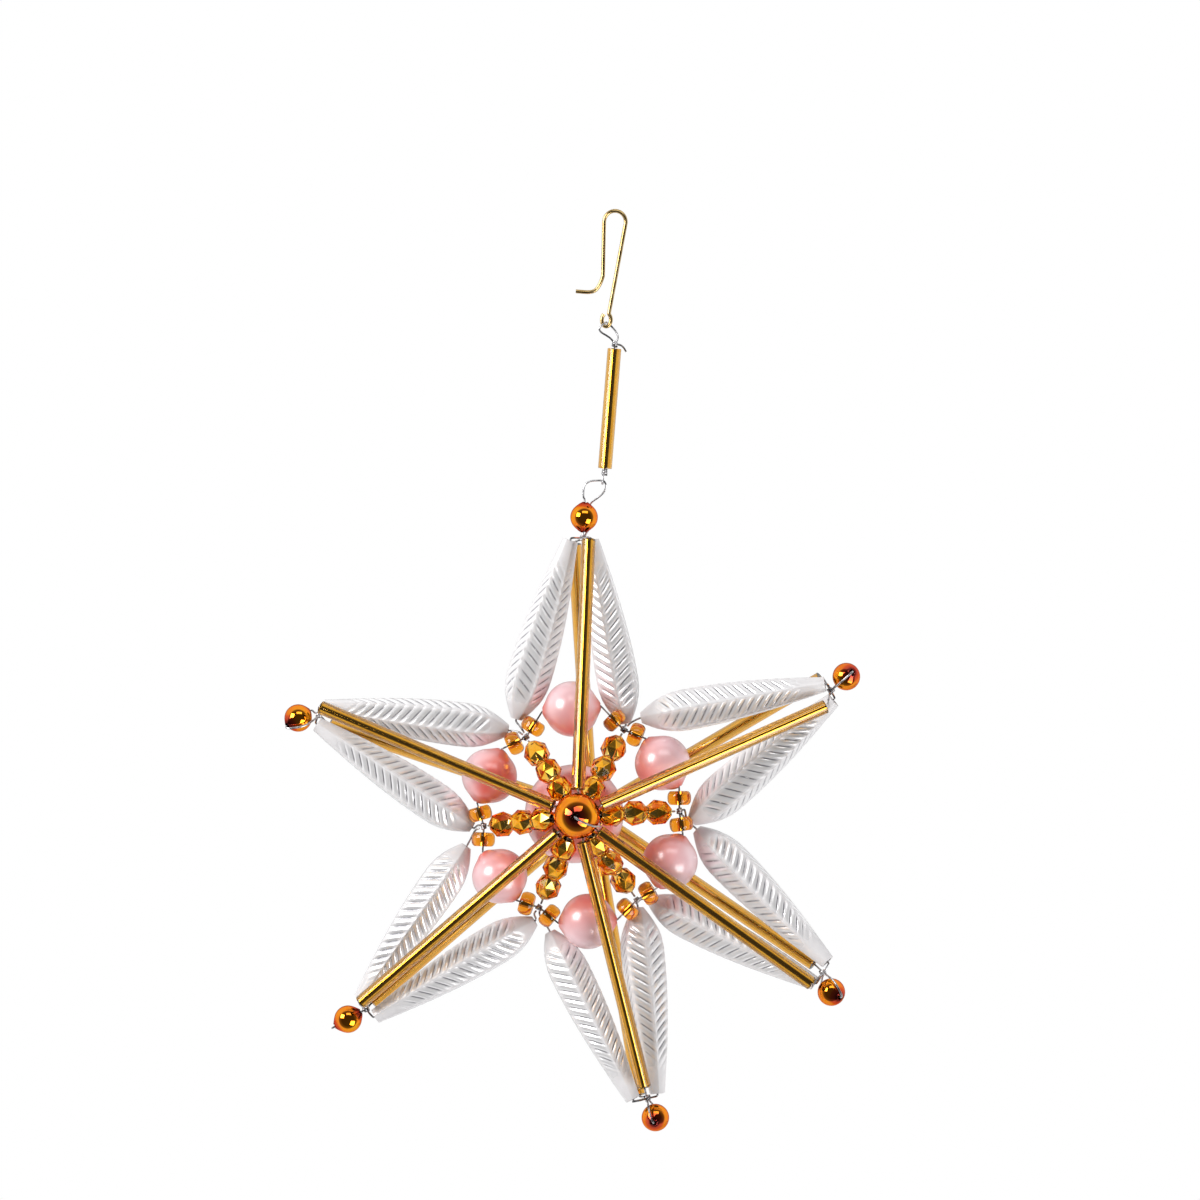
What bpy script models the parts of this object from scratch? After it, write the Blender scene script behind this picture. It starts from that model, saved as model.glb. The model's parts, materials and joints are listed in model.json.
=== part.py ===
"""Hand-wired glass bead star on a beaded hanger and an open hook, hanging straight down.

Lengths are in metres. The origin is where the inside of the hook's bend rests on what
holds it, +Z is up, and the front of the star faces -Y. Places in the star are given by an
angle and a radius about the ring's centre, seen from the front, and a depth that grows
towards the back. Arms and junctions are named by the hour they point to on a clock face.
"""

import math
from collections import namedtuple

import bmesh
import bpy
from mathutils import Matrix, Vector

MM = 0.001

# Wire, bores and clearances
WIRE_RADIUS = 0.2 * MM
HOOK_WIRE_RADIUS = 0.4 * MM
GAP = 0.3 * MM
HOLE_RADIUS = 0.55 * MM
BLOWN_WALL = 0.5 * MM
KNOT_RADIUS = 0.6 * MM
KNOT_LENGTH = 1.1 * MM
KNOT_TURNS = 2

# Hook, measured along its centre line
HOOK_BEND_RADIUS = 2.25 * MM
HOOK_LEG_GAP_LOW = 1.5 * MM
HOOK_SHORT_LEG = 11.4 * MM
HOOK_FOOT_REACH = 5.4 * MM
HOOK_FOOT_DROP = 3.4 * MM
HOOK_LONG_LEG = 18.3 * MM
EYE_HALF_WIDTH = 0.95 * MM
EYE_HALF_HEIGHT = 1.4 * MM

# Hanger
HANGER_TUBE_LENGTH = 24.7 * MM
HANGER_TOP_LOOP_DROP = 3.9 * MM
HANGER_TOP_LOOP_WIDTH = 3.7 * MM
HANGER_TAIL = 2.4 * MM
HANGER_LOW_EYE_DROP = 2.8 * MM
STAR_LOOP_WIDTH = 4.4 * MM
STAR_LOOP_DROP = 4.62 * MM

# Star as a whole
HUB_SIDE = 0.4 * MM
HUB_RISE = 0.9 * MM
HUB_DEPTH = 15.2 * MM
HUB_SEAT_RADIUS = 5.4 * MM
BACK_WINDING_REACH = 2.6 * MM
TIP_DEPTH = 3.5 * MM

# Ring of pearls and seed beads
RING_RADIUS = 20.2 * MM
RING_TURN = 7.65
RING_DEPTH = -1.5 * MM
RING_PEARL_RADIUS = 5.8 * MM
SEED_RADIUS = 2.42 * MM
SEED_LENGTH = 2.8 * MM
JUNCTION_HALF_GAP = 1.3 * MM

# Spokes of faceted beads
FACET_RADIUS = 2.6 * MM
FACET_SPACE = 0.25 * MM
FACET_SIDES = 6
FACET_COUNT = 3
FIRST_FACET_REACH = 4.8 * MM
LAST_FACET_RADIUS = 6.44 * MM
SPOKE_RISE = 36.2
SPOKE_SET_BACK = 0.5 * MM

# Large beads
CENTRE_PEARL_RADIUS = 10.3 * MM
CENTRE_PEARL_SIDE = -1.9 * MM
CENTRE_PEARL_RISE = 0.8 * MM
CENTRE_PEARL_DEPTH = 2.4 * MM
HUB_BALL_RADIUS = 4.78 * MM
TIP_BALL_RADIUS = 2.95 * MM
COLLAR_LENGTH = 0.15 * MM

# Cut tubes
TUBE_RADIUS = 1.42 * MM
TUBE_BORE_RADIUS = 0.6 * MM
TUBE_EDGE = 0.12 * MM

# Six-sided leaf beads
LEAF_LENGTH = 38.4 * MM
LEAF_TIP_RADIUS = 1.65 * MM
LEAF_BELLY_RADIUS = 4.65 * MM
LEAF_ROOT_RADIUS = 1.2 * MM
LEAF_BELLY_SHARE = 0.74
LEAF_TIP_SETBACK = 0.45 * MM
LEAF_SIDES = 6
LEAF_BELLY_AT = LEAF_BELLY_SHARE * LEAF_LENGTH

# Each arm leans its own way, as the wires were bent by hand. Aim is in degrees. Past is how
# far the tip lies beyond the ring and a leaf bead, and the sides and shorts are how far each
# tube's end lies beside the arm's line and short of its tip, all in millimetres. The tip
# ball leans from the arm's line, and its bore nods towards the side on which its wire comes
# back, which is turned by the wrap from straight behind, all in degrees.
Arm = namedtuple(
    "Arm", "hour aim past front_side front_short back_side back_short lean nod wrap"
)
ARMS = (
    Arm(12, 93.0, -1.0, -1.5, 0.3, 2.1, 1.2, -3.0, 0.0, -20.0),
    Arm(2, 30.4, -1.1, -2.5, 2.2, 3.2, 0.9, 14.5, 57.0, -176.0),
    Arm(4, -29.3, 0.1, -2.9, 0.7, 0.3, 2.7, -34.0, 58.0, 149.0),
    Arm(6, -73.6, 0.3, 0.2, 2.5, -1.8, 0.9, 8.6, 74.0, -173.0),
    Arm(8, -135.5, 0.9, -1.6, 0.5, -0.3, 1.4, -12.0, 0.0, 0.0),
    Arm(10, 161.9, -0.1, -1.8, 0.3, 1.2, 2.5, 29.7, 44.0, 147.0),
)

# Each leaf bead runs from an arm's tip to a junction. Its root lies outward of the
# junction, along the ring from it, and behind the arm tips. Its wire enters between the
# two seed beads at the entry, a distance along the ring, turned backwards by some degrees
# on its way in, after a straight run out of the bead. All but the turn in millimetres.
Leaf = namedtuple("Leaf", "arm junction tip_side root_out root_along root_depth entry turn run")
LEAVES = (
    Leaf(12, 11, 2.6, 4.2, -0.2, 0.0, -0.25, 0, 0.5),
    Leaf(12, 1, -1.8, 1.2, 0.6, 3.2, 0.55, 0, 0.5),
    Leaf(2, 1, 1.7, 3.7, -2.1, 0.0, -0.55, 0, 0.5),
    Leaf(2, 3, -2.0, 2.5, -2.0, 1.5, 0.3, -10, 1.2),
    Leaf(4, 3, 2.4, 3.0, -4.3, 4.2, -0.75, 17, 0.5),
    Leaf(4, 5, -2.7, 2.0, 2.0, 5.6, 0.55, 0, 0.5),
    Leaf(6, 5, 2.2, 0.9, -0.9, 2.6, -0.55, 0, 0.5),
    Leaf(6, 7, -3.0, 2.2, 1.8, 2.2, 0.55, 0, 0.5),
    Leaf(8, 7, 2.4, 2.6, 0.5, 0.0, -0.55, 0, 0.5),
    Leaf(8, 9, -2.3, 2.7, 2.2, 0.0, 0.6, 0, 0.5),
    Leaf(10, 9, 1.9, 2.4, 0.3, 0.8, -0.3, 0, 0.5),
    Leaf(10, 11, -1.9, 2.5, 1.4, 0.5, 0.55, 0, 0.5),
)

JUNCTION_HOURS = (3, 1, 11, 9, 7, 5)
# Each ring pearl sits a little off the even ring: how far out from it in millimetres, and
# how far round it in degrees.
PEARL_SHIFTS = {
    2: (0.0, 0.0), 12: (2.4, 0.7), 10: (0.7, 0.8), 8: (0.4, 0.6), 6: (0.9, -1.0), 4: (0.0, 0.0),
}
# Rows were pushed outwards by the large pearl, which sits left of the middle, and by
# the hub, which sits above it.
SPOKE_SLIDE = {11: 0.75 * MM, 9: 0.7 * MM, 1: 0.6 * MM, 3: 0.6 * MM}

# Beads on a wire are turned off its own corners, so that no edges coincide.
OFF_SQUARE = Matrix.Rotation(math.radians(14.0), 4, "Z")

BACK = Vector((0.0, 1.0, 0.0))
UP = Vector((0.0, 0.0, 1.0))


# Directions and places

def heading(degrees):
    """Unit vector in the star's plane, at this angle above +X as seen from the front."""
    angle = math.radians(degrees)
    return Vector((math.cos(angle), 0.0, math.sin(angle)))


def beside(direction):
    """Unit vector in the star's plane, a quarter turn anticlockwise from a direction."""
    return Vector((-direction.z, 0.0, direction.x))


def in_depth(point, depth):
    return Vector((point.x, depth, point.z))


def hub_point(depth):
    return CENTRE + Vector((HUB_SIDE, depth, HUB_RISE))


def junction_angle(hour):
    return RING_TURN + 60.0 * JUNCTION_HOURS.index(hour)


def junction_point(hour):
    return CENTRE + heading(junction_angle(hour)) * RING_RADIUS + BACK * RING_DEPTH


def arm_of(hour):
    return next(arm for arm in ARMS if arm.hour == hour)


def arm_reach(arm):
    return RING_RADIUS + LEAF_LENGTH + arm.past * MM


def arm_tip(arm):
    return CENTRE + heading(arm.aim) * arm_reach(arm)


def tip_place(arm, short, side, depth):
    along = heading(arm.aim)
    return arm_tip(arm) - along * short * MM + beside(along) * side * MM + BACK * depth


# Materials and objects

def material(name, colour, roughness, metallic=0.0, transmission=0.0):
    made = bpy.data.materials.new(name)
    made.use_nodes = True
    shader = made.node_tree.nodes["Principled BSDF"]
    shader.inputs["Base Color"].default_value = (*colour, 1.0)
    shader.inputs["Roughness"].default_value = roughness
    shader.inputs["Metallic"].default_value = metallic
    shader.inputs["Transmission Weight"].default_value = transmission
    made.diffuse_color = (*colour, 1.0)
    return made


def empty(name, place, parent=None):
    made = bpy.data.objects.new(name, None)
    made.empty_display_size = 4 * MM
    made.location = place - (parent.location if parent else Vector())
    made.parent = parent
    bpy.context.scene.collection.objects.link(made)
    return made


def add_object(name, mesh, finish, parent, matrix=None):
    """Links a mesh as a named object. The matrix is its place in the world."""
    made = bpy.data.objects.new(name, mesh)
    bpy.context.scene.collection.objects.link(made)
    made.parent = parent
    origin = world_origin(parent)
    made.matrix_local = Matrix.Translation(-origin) @ (matrix or Matrix.Identity(4))
    mesh.materials.clear()
    mesh.materials.append(finish)
    mesh.shade_smooth()
    mesh.set_sharp_from_angle(angle=math.radians(32.0))
    return made


def world_origin(parent):
    place = Vector()
    while parent:
        place += parent.location
        parent = parent.parent
    return place


def along_axis(start, direction, turn=0.0):
    """Matrix that stands a bead's +Z on a direction, with its origin at the start."""
    to_axis = UP.rotation_difference(direction).to_matrix().to_4x4()
    return Matrix.Translation(start) @ to_axis @ Matrix.Rotation(turn, 4, "Z")


# Turned, faceted and swept shapes

def turned(name, profile, sides):
    """Turns a closed outline of (radius, height) about the Z axis."""
    shape = bmesh.new()
    points = [shape.verts.new((radius, 0.0, height)) for radius, height in profile]
    edges = [shape.edges.new((points[i - 1], points[i])) for i in range(len(points))]
    bmesh.ops.spin(
        shape, geom=points + edges, cent=(0, 0, 0), axis=(0, 0, 1),
        angle=math.tau, steps=sides, use_merge=True,
    )
    bmesh.ops.remove_doubles(shape, verts=shape.verts, dist=0.001 * MM)
    bmesh.ops.recalc_face_normals(shape, faces=shape.faces)
    mesh = bpy.data.meshes.new(name)
    shape.to_mesh(mesh)
    shape.free()
    return mesh


def blown_ball(name, radius, steps, sides):
    """Blown glass ball about its centre: thin wall, a hole and a low collar at each pole."""
    collar_radius = HOLE_RADIUS + 0.4 * MM
    collar_at = math.asin(collar_radius / radius)
    outside = [(collar_radius, -radius - COLLAR_LENGTH)]
    for i in range(steps + 1):
        angle = collar_at + (math.pi - 2 * collar_at) * i / steps
        outside.append((radius * math.sin(angle), -radius * math.cos(angle)))
    outside.append((collar_radius, radius + COLLAR_LENGTH))
    inner = radius - BLOWN_WALL
    inside_at = math.asin(HOLE_RADIUS / inner)
    inside = []
    inner_steps = steps // 2 + 1
    for i in range(inner_steps + 1):
        angle = inside_at + (math.pi - 2 * inside_at) * i / inner_steps
        inside.append((inner * math.sin(angle), inner * math.cos(angle)))
    rim = radius + COLLAR_LENGTH
    profile = outside + [(HOLE_RADIUS, rim)] + inside + [(HOLE_RADIUS, -rim)]
    return turned(name, profile, sides)


def cut_tube(name, length, sides=8):
    """Length of glass tube standing on the origin, with its end edges melted off."""
    profile = [
        (TUBE_BORE_RADIUS, 0.0),
        (TUBE_RADIUS - TUBE_EDGE, 0.0),
        (TUBE_RADIUS, TUBE_EDGE),
        (TUBE_RADIUS, length - TUBE_EDGE),
        (TUBE_RADIUS - TUBE_EDGE, length),
        (TUBE_BORE_RADIUS, length),
    ]
    return turned(name, profile, sides)


def leaf_radius(height):
    """Corner radius of a leaf bead at a height above its narrow end."""
    if height < LEAF_BELLY_AT:
        swell = math.sin(math.pi / 2 * height / LEAF_BELLY_AT)
        return LEAF_TIP_RADIUS + (LEAF_BELLY_RADIUS - LEAF_TIP_RADIUS) * swell
    past = (height - LEAF_BELLY_AT) / (LEAF_LENGTH - LEAF_BELLY_AT)
    crown = math.cos(math.pi / 2 * past ** 1.3)
    return LEAF_ROOT_RADIUS + (LEAF_BELLY_RADIUS - LEAF_ROOT_RADIUS) * crown


def leaf_mesh():
    """Hollow six-sided drop that stands on its narrow end."""
    steps = range(5)
    heights = [LEAF_BELLY_AT * i / steps[-1] for i in steps]
    heights += [
        LEAF_BELLY_AT + (LEAF_LENGTH - LEAF_BELLY_AT) * (i / steps[-1]) ** 0.75
        for i in steps[1:]
    ]
    outside = [(leaf_radius(height), height) for height in heights]
    inside = [
        (leaf_radius(height) - BLOWN_WALL * 1.2, height)
        for height in heights[1:-2:2]
    ]
    low, high = 1.5 * MM, LEAF_LENGTH - 1.2 * MM
    profile = outside + [(HOLE_RADIUS, LEAF_LENGTH), (HOLE_RADIUS, high)]
    profile += inside[::-1] + [(HOLE_RADIUS, low), (HOLE_RADIUS, 0.0)]
    return turned("leaf_bead", profile, LEAF_SIDES)


def facet_pitch():
    """Distance between cut beads, which share the way from the junction to the hub."""
    way = RING_RADIUS - FIRST_FACET_REACH - LAST_FACET_RADIUS
    return way / (FACET_COUNT - 1) / math.cos(math.radians(SPOKE_RISE))


def facet_length():
    return facet_pitch() - FACET_SPACE


def faceted_bead(name):
    """Cut bead about its centre: flat ends and three rows of triangular facets."""
    end, half = facet_length() / 2, FACET_RADIUS
    rows = ((0.5 * half, -end), (half, -0.4 * end), (half, 0.4 * end), (0.5 * half, end))
    shape = bmesh.new()
    rings = []
    for row, (radius, height) in enumerate(rows):
        shift = row % 2 / 2
        rings.append([
            shape.verts.new((
                radius * math.cos(math.tau * (i + shift) / FACET_SIDES),
                radius * math.sin(math.tau * (i + shift) / FACET_SIDES),
                height,
            ))
            for i in range(FACET_SIDES)
        ])
    for row, (low, high) in enumerate(zip(rings, rings[1:])):
        step = row % 2
        for i in range(FACET_SIDES):
            after = (i + 1) % FACET_SIDES
            shape.faces.new((low[i], low[after], high[(i + step) % FACET_SIDES]))
            shape.faces.new((high[i], low[(i + 1 - step) % FACET_SIDES], high[after]))
    shape.faces.new(rings[0][::-1])
    shape.faces.new(rings[-1])
    bmesh.ops.recalc_face_normals(shape, faces=shape.faces)
    mesh = bpy.data.meshes.new(name)
    shape.to_mesh(mesh)
    shape.free()
    return mesh


def wound_knot(name, sides=6):
    """Short barrel of wound wire about the origin, ridged where the turns lie."""
    profile = [(0.1 * KNOT_RADIUS, -KNOT_LENGTH / 2)]
    for turn in range(KNOT_TURNS):
        base = -KNOT_LENGTH / 2 + KNOT_LENGTH * turn / KNOT_TURNS
        profile.append((0.8 * KNOT_RADIUS, base + 0.02 * MM))
        profile.append((KNOT_RADIUS, base + KNOT_LENGTH / KNOT_TURNS / 2))
    profile.append((0.8 * KNOT_RADIUS, KNOT_LENGTH / 2 - 0.02 * MM))
    profile.append((0.1 * KNOT_RADIUS, KNOT_LENGTH / 2))
    return moved(filled(turned(name, profile, sides)), OFF_SQUARE)


def filled(mesh):
    """Closes the narrow bore that a turned outline leaves on its axis."""
    shape = bmesh.new()
    shape.from_mesh(mesh)
    inner = [
        face for face in shape.faces
        if all(math.hypot(*vert.co.xy) < 0.15 * KNOT_RADIUS for vert in face.verts)
    ]
    bmesh.ops.delete(shape, geom=inner, context="FACES")
    bmesh.ops.holes_fill(shape, edges=[edge for edge in shape.edges if edge.is_boundary])
    bmesh.ops.recalc_face_normals(shape, faces=shape.faces)
    shape.to_mesh(mesh)
    shape.free()
    return mesh


def softened(points, reach):
    """Cuts off each sharp corner of a route, so that swept wire bends round it."""
    route = [points[0]]
    for before, corner, after in zip(points, points[1:], points[2:]):
        into, out = corner - before, after - corner
        if into.angle(out) < math.radians(22):
            route.append(corner)
            continue
        cut = min(reach, into.length * 0.4, out.length * 0.4)
        start, end = corner - into.normalized() * cut, corner + out.normalized() * cut
        route += [start, end]
    return route + [points[-1]]


def swept(name, points, radius, closed=False, detail=0):
    """Round wire along a route, as a mesh in world coordinates."""
    data = bpy.data.curves.new(name, "CURVE")
    data.dimensions = "3D"
    data.bevel_depth = radius
    data.bevel_resolution = detail
    data.use_fill_caps = not closed
    spline = data.splines.new("POLY")
    spline.points.add(len(points) - 1)
    for place, point in zip(spline.points, points):
        place.co = (*point, 1.0)
    spline.use_cyclic_u = closed
    guide = bpy.data.objects.new(name, data)
    bpy.context.scene.collection.objects.link(guide)
    graph = bpy.context.evaluated_depsgraph_get()
    mesh = bpy.data.meshes.new_from_object(guide.evaluated_get(graph))
    bpy.data.objects.remove(guide)
    bpy.data.curves.remove(data)
    shape = bmesh.new()
    shape.from_mesh(mesh)
    bmesh.ops.remove_doubles(shape, verts=shape.verts, dist=0.001 * MM)
    bmesh.ops.recalc_face_normals(shape, faces=shape.faces)
    shape.to_mesh(mesh)
    shape.free()
    return mesh


def moved(mesh, matrix):
    mesh.transform(matrix)
    return mesh


def fused(name, meshes):
    """One closed mesh from several that overlap, by Boolean unions."""
    body = bpy.data.objects.new(name, meshes[0])
    bpy.context.scene.collection.objects.link(body)
    helpers = []
    for other in meshes[1:]:
        helper = bpy.data.objects.new(name + "_piece", other)
        bpy.context.scene.collection.objects.link(helper)
        helpers.append(helper)
        join = body.modifiers.new("join", "BOOLEAN")
        join.operation = "UNION"
        join.solver = "EXACT"
        join.object = helper
    graph = bpy.context.evaluated_depsgraph_get()
    mesh = bpy.data.meshes.new_from_object(body.evaluated_get(graph))
    mesh.name = name
    for spent in [body] + helpers:
        bpy.data.objects.remove(spent)
    return mesh


# Hook and hanger

def eye_centre():
    low_leg = Vector((-HOOK_BEND_RADIUS + HOOK_LEG_GAP_LOW + 0.75 * MM, 0, 0))
    foot = Vector((0, 0, -HOOK_WIRE_RADIUS - HOOK_BEND_RADIUS + 0.4 * MM - HOOK_LONG_LEG))
    return low_leg + foot - Vector((EYE_HALF_WIDTH * 0.7, 0, EYE_HALF_HEIGHT * 1.1))


def hook_route():
    """Centre line from the free foot, up and over the bend, down the long leg into the eye."""
    bend = Vector((0, 0, HOOK_WIRE_RADIUS - HOOK_BEND_RADIUS))
    low = bend.z - HOOK_SHORT_LEG
    foot_x = bend.x - HOOK_BEND_RADIUS + 0.4 * MM
    route = [
        Vector((foot_x - HOOK_FOOT_REACH, 0, low - HOOK_FOOT_DROP + 0.1 * MM)),
        Vector((foot_x - 0.35 * HOOK_FOOT_REACH, 0, low - HOOK_FOOT_DROP)),
        Vector((foot_x - 0.13 * HOOK_FOOT_REACH, 0, low - 0.62 * HOOK_FOOT_DROP)),
        Vector((foot_x, 0, low)),
    ]
    for i in range(9):
        route.append(bend + heading(180 - 180 * i / 8) * HOOK_BEND_RADIUS)
    eye = eye_centre()
    for i in range(12):
        angle = math.radians(62 - 27 * i)
        route.append(eye + Vector((
            EYE_HALF_WIDTH * math.cos(angle), 0, EYE_HALF_HEIGHT * math.sin(angle),
        )))
    return route


def loop_apex():
    """Where the hanger's top loop bears in the hook's eye: the axis of its swing."""
    seat = -EYE_HALF_HEIGHT + HOOK_WIRE_RADIUS + GAP + WIRE_RADIUS
    return eye_centre() + UP * seat


def link_point():
    """Where the star's loop bears in the hanger's low eye: the axis of the star's swing."""
    return Vector((HUB_SIDE, 0, tube_bottom().z - HANGER_LOW_EYE_DROP + 0.3 * MM))


def ball_seat():
    """Distance from an arm's tip to the middle of its tip ball."""
    return TIP_BALL_RADIUS + COLLAR_LENGTH + KNOT_LENGTH / 2 + 2.1 * GAP


def star_centre():
    """Middle of the ring, where the loop on the top ball bears in the hanger's low eye."""
    top = arm_of(12)
    ball = link_point().z - STAR_LOOP_DROP - COLLAR_LENGTH - TIP_BALL_RADIUS
    tip = ball - ball_seat() * heading(top.aim + top.lean).z
    return Vector((0, 0, tip - arm_reach(top) * heading(top.aim).z))


def tube_top():
    return loop_apex() + Vector((2.0 * MM, 0, -HANGER_TOP_LOOP_DROP - 1.4 * MM))


def tube_bottom():
    return tube_top() + hanger_axis() * HANGER_TUBE_LENGTH


def hanger_axis():
    return Vector((-0.025, 0, -1)).normalized()


CENTRE = star_centre()


def build_hook(finish):
    mesh = swept("hook", hook_route(), HOOK_WIRE_RADIUS, detail=1)
    return add_object("hook", mesh, finish, None)


def build_hanger(wire, gold, hanger):
    apex, top, bottom = loop_apex(), tube_top(), tube_bottom()
    knot = top - hanger_axis() * (GAP + KNOT_LENGTH / 2 + 0.1 * MM)
    half, drop = HANGER_TOP_LOOP_WIDTH / 2, apex.z - knot.z
    spread = HOOK_WIRE_RADIUS + WIRE_RADIUS + 1.2 * GAP
    apart = Vector((0, 1.3 * WIRE_RADIUS, 0))
    route = [
        knot - apart,
        knot + Vector((-0.5 * half, -0.45 * spread, 0.28 * drop)),
        apex + Vector((-0.85 * half, -spread, -0.42 * drop)),
        apex + Vector((-0.35 * half, -spread, -0.12 * drop)),
        apex + Vector((-0.02 * half, -0.6 * spread, 0)),
        apex + Vector((0.02 * half, 0.6 * spread, 0)),
        apex + Vector((0.45 * half, spread, -0.12 * drop)),
        apex + Vector((1.15 * half, spread, -0.42 * drop)),
        knot + Vector((0.35 * half, 0.45 * spread, 0.28 * drop)),
        knot + apart,
    ]
    tail = [
        knot,
        knot + Vector((0.65 * HANGER_TAIL, 0, -0.08 * HANGER_TAIL)),
        knot + Vector((HANGER_TAIL, 0, -0.62 * HANGER_TAIL)),
    ]
    link = link_point()
    low = bottom + hanger_axis() * 0.75 * MM
    seat = 2 * WIRE_RADIUS + GAP
    width = 2 * WIRE_RADIUS + 1.3 * GAP
    eye = [
        low - apart,
        link + Vector((0, -width, 0.8 * MM)),
        link + Vector((0, -width, -0.3 * seat)),
        link + Vector((0, -0.4 * width, -seat)),
        link + Vector((0, 0.4 * width, -seat)),
        link + Vector((0, width, -0.3 * seat)),
        link + Vector((0, width, 0.8 * MM)),
        low + apart,
    ]
    pieces = [
        moved(wound_knot("turns"), along_axis(knot, -hanger_axis())),
        swept("loop", route, WIRE_RADIUS),
        swept("tail", tail, WIRE_RADIUS),
        swept("core", [knot, top, bottom, low], WIRE_RADIUS),
        moved(wound_knot("low_turns"), along_axis(low, -hanger_axis())),
        swept("eye", eye, WIRE_RADIUS),
    ]
    add_object("hanger_wire", fused("hanger_wire", pieces), wire, hanger)
    place = along_axis(bottom, -hanger_axis())
    add_object("hanger_tube", cut_tube("hanger_tube", HANGER_TUBE_LENGTH), gold, hanger, place)


# Arms of the star

def leaf_ends(leaf):
    """Narrow end, wide end and direction between them."""
    tip = tip_place(arm_of(leaf.arm), LEAF_TIP_SETBACK / MM, leaf.tip_side, 0.0)
    out = heading(junction_angle(leaf.junction))
    root = CENTRE + out * (RING_RADIUS + leaf.root_out * MM)
    root += beside(out) * leaf.root_along * MM + BACK * leaf.root_depth * MM
    direction = (root - tip).normalized()
    return tip, tip + direction * LEAF_LENGTH, direction


def tube_ends(arm, front):
    """Outer end at the tip and inner end beside the hub."""
    side, short = (arm.front_side, arm.front_short) if front else (arm.back_side, arm.back_short)
    facing = -1 if front else 1
    outer = tip_place(arm, short, side, facing * TIP_DEPTH)
    middle = hub_point(0.0)
    spread = in_depth(outer, 0.0) - middle
    inner = middle + spread.normalized() * HUB_SEAT_RADIUS + BACK * facing * HUB_DEPTH
    return outer, inner


def leg_route(leaf):
    """Wire from the arm's knot through a leaf bead to its junction."""
    tip, root, direction = leaf_ends(leaf)
    spare = WIRE_RADIUS + 1.1 * GAP
    out = heading(junction_angle(leaf.junction))
    joint = junction_point(leaf.junction)
    past = root + direction * leaf.run * MM
    lean = past - joint
    lean -= beside(out) * lean.dot(beside(out))
    distance = lean.length
    lean = Matrix.Rotation(math.radians(leaf.turn), 3, beside(out)) @ lean.normalized()
    step = beside(out) * leaf.entry * MM
    clear = KNOT_RADIUS + GAP + WIRE_RADIUS
    route = [arm_tip(arm_of(leaf.arm)), tip - direction * spare, tip, root, past]
    if distance > SEED_RADIUS:
        route.append(joint + lean * 0.85 * SEED_RADIUS + step)
    route.append(joint + lean * clear + step * 0.6)
    return softened(route, 0.3 * MM)


def tube_wire_route(arm, front):
    """Wire from the arm's knot through a tube to the winding behind the hub's bead."""
    outer, inner = tube_ends(arm, front)
    along = (inner - outer).normalized()
    facing = -1 if front else 1
    middle = hub_point(0.0)
    spread = (in_depth(inner, 0.0) - middle).normalized()
    ends = winding_depths(front)
    last = middle + spread * (KNOT_RADIUS + 1.4 * GAP) + BACK * facing * ends[1]
    spare = 1.6 * GAP
    tip = arm_tip(arm)
    rise = tip + BACK * facing * 0.55 * TIP_DEPTH + in_depth(outer - tip, 0.0) * 0.22
    route = [tip, rise, outer - along * spare, outer, inner, inner + along * spare]
    if front:
        clear = HUB_BALL_RADIUS + WIRE_RADIUS + 1.4 * GAP
        ball = front_ball_depth()
        for turn in (114, 133, 152):
            angle = math.radians(turn)
            depth = ball + clear * math.cos(angle)
            route.append(middle + spread * clear * math.sin(angle) - BACK * depth)
    route.append(last)
    return softened(route, 0.3 * MM)


def front_ball_depth():
    return HUB_DEPTH + 1.5 * MM


def winding_depths(front):
    """Distance from the ring plane to a hub winding's ends and to its two rows of wires."""
    if front:
        outer = front_ball_depth() - HUB_BALL_RADIUS - GAP - COLLAR_LENGTH
        return outer - 2.4 * MM, outer - 1.0 * MM, outer - 2.0 * MM, outer
    outer = CENTRE_PEARL_DEPTH + CENTRE_PEARL_RADIUS + BACK_WINDING_REACH
    return outer - 1.2 * MM, outer - 0.5 * MM, outer - 0.5 * MM, outer


def ball_sides(arm):
    """Way from the arm's tip to its ball, the bore's axis, and the side the wire comes back on."""
    way = heading(arm.aim + arm.lean)
    side = Matrix.Rotation(math.radians(arm.wrap), 3, way) @ BACK
    nod = math.radians(arm.nod)
    axis = way * math.cos(nod) + side * math.sin(nod)
    return way, axis, side * math.cos(nod) - way * math.sin(nod)


def ball_route(arm):
    """Wire from the arm's knot round to the tip ball's inner hole, out of its outer hole and
    back over its surface."""
    way, axis, side = ball_sides(arm)
    centre = ball_centre(arm)
    clear = TIP_BALL_RADIUS + WIRE_RADIUS + 1.4 * GAP
    far = centre + axis * (TIP_BALL_RADIUS + COLLAR_LENGTH)
    lift = Matrix.Rotation(math.radians(arm.wrap), 3, way) @ BACK
    knot_at = 180 - round(arm.nod)
    route = [arm_tip(arm) - lift * WIRE_RADIUS]
    route += [on_ball(centre, axis, side, turn, clear) for turn in range(knot_at + 18, 172, 18)]
    if arm.nod:
        route.append(centre - axis * (clear + WIRE_RADIUS))
    route += [centre, far + axis * (GAP + 2 * WIRE_RADIUS)]
    if arm.hour == 12:
        route += star_loop(far)
    else:
        route.append(on_ball(centre, axis, side, 16, clear + 0.4 * MM))
    route += [on_ball(centre, axis, side, turn, clear) for turn in range(36, knot_at - 22, 20)]
    route.append(arm_tip(arm) + lift * 1.6 * WIRE_RADIUS)
    return route


def on_ball(centre, axis, side, turn, reach):
    """Point at a reach from a ball's centre, turned from its axis towards a side."""
    angle = math.radians(turn)
    return centre + (axis * math.cos(angle) + side * math.sin(angle)) * reach


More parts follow.
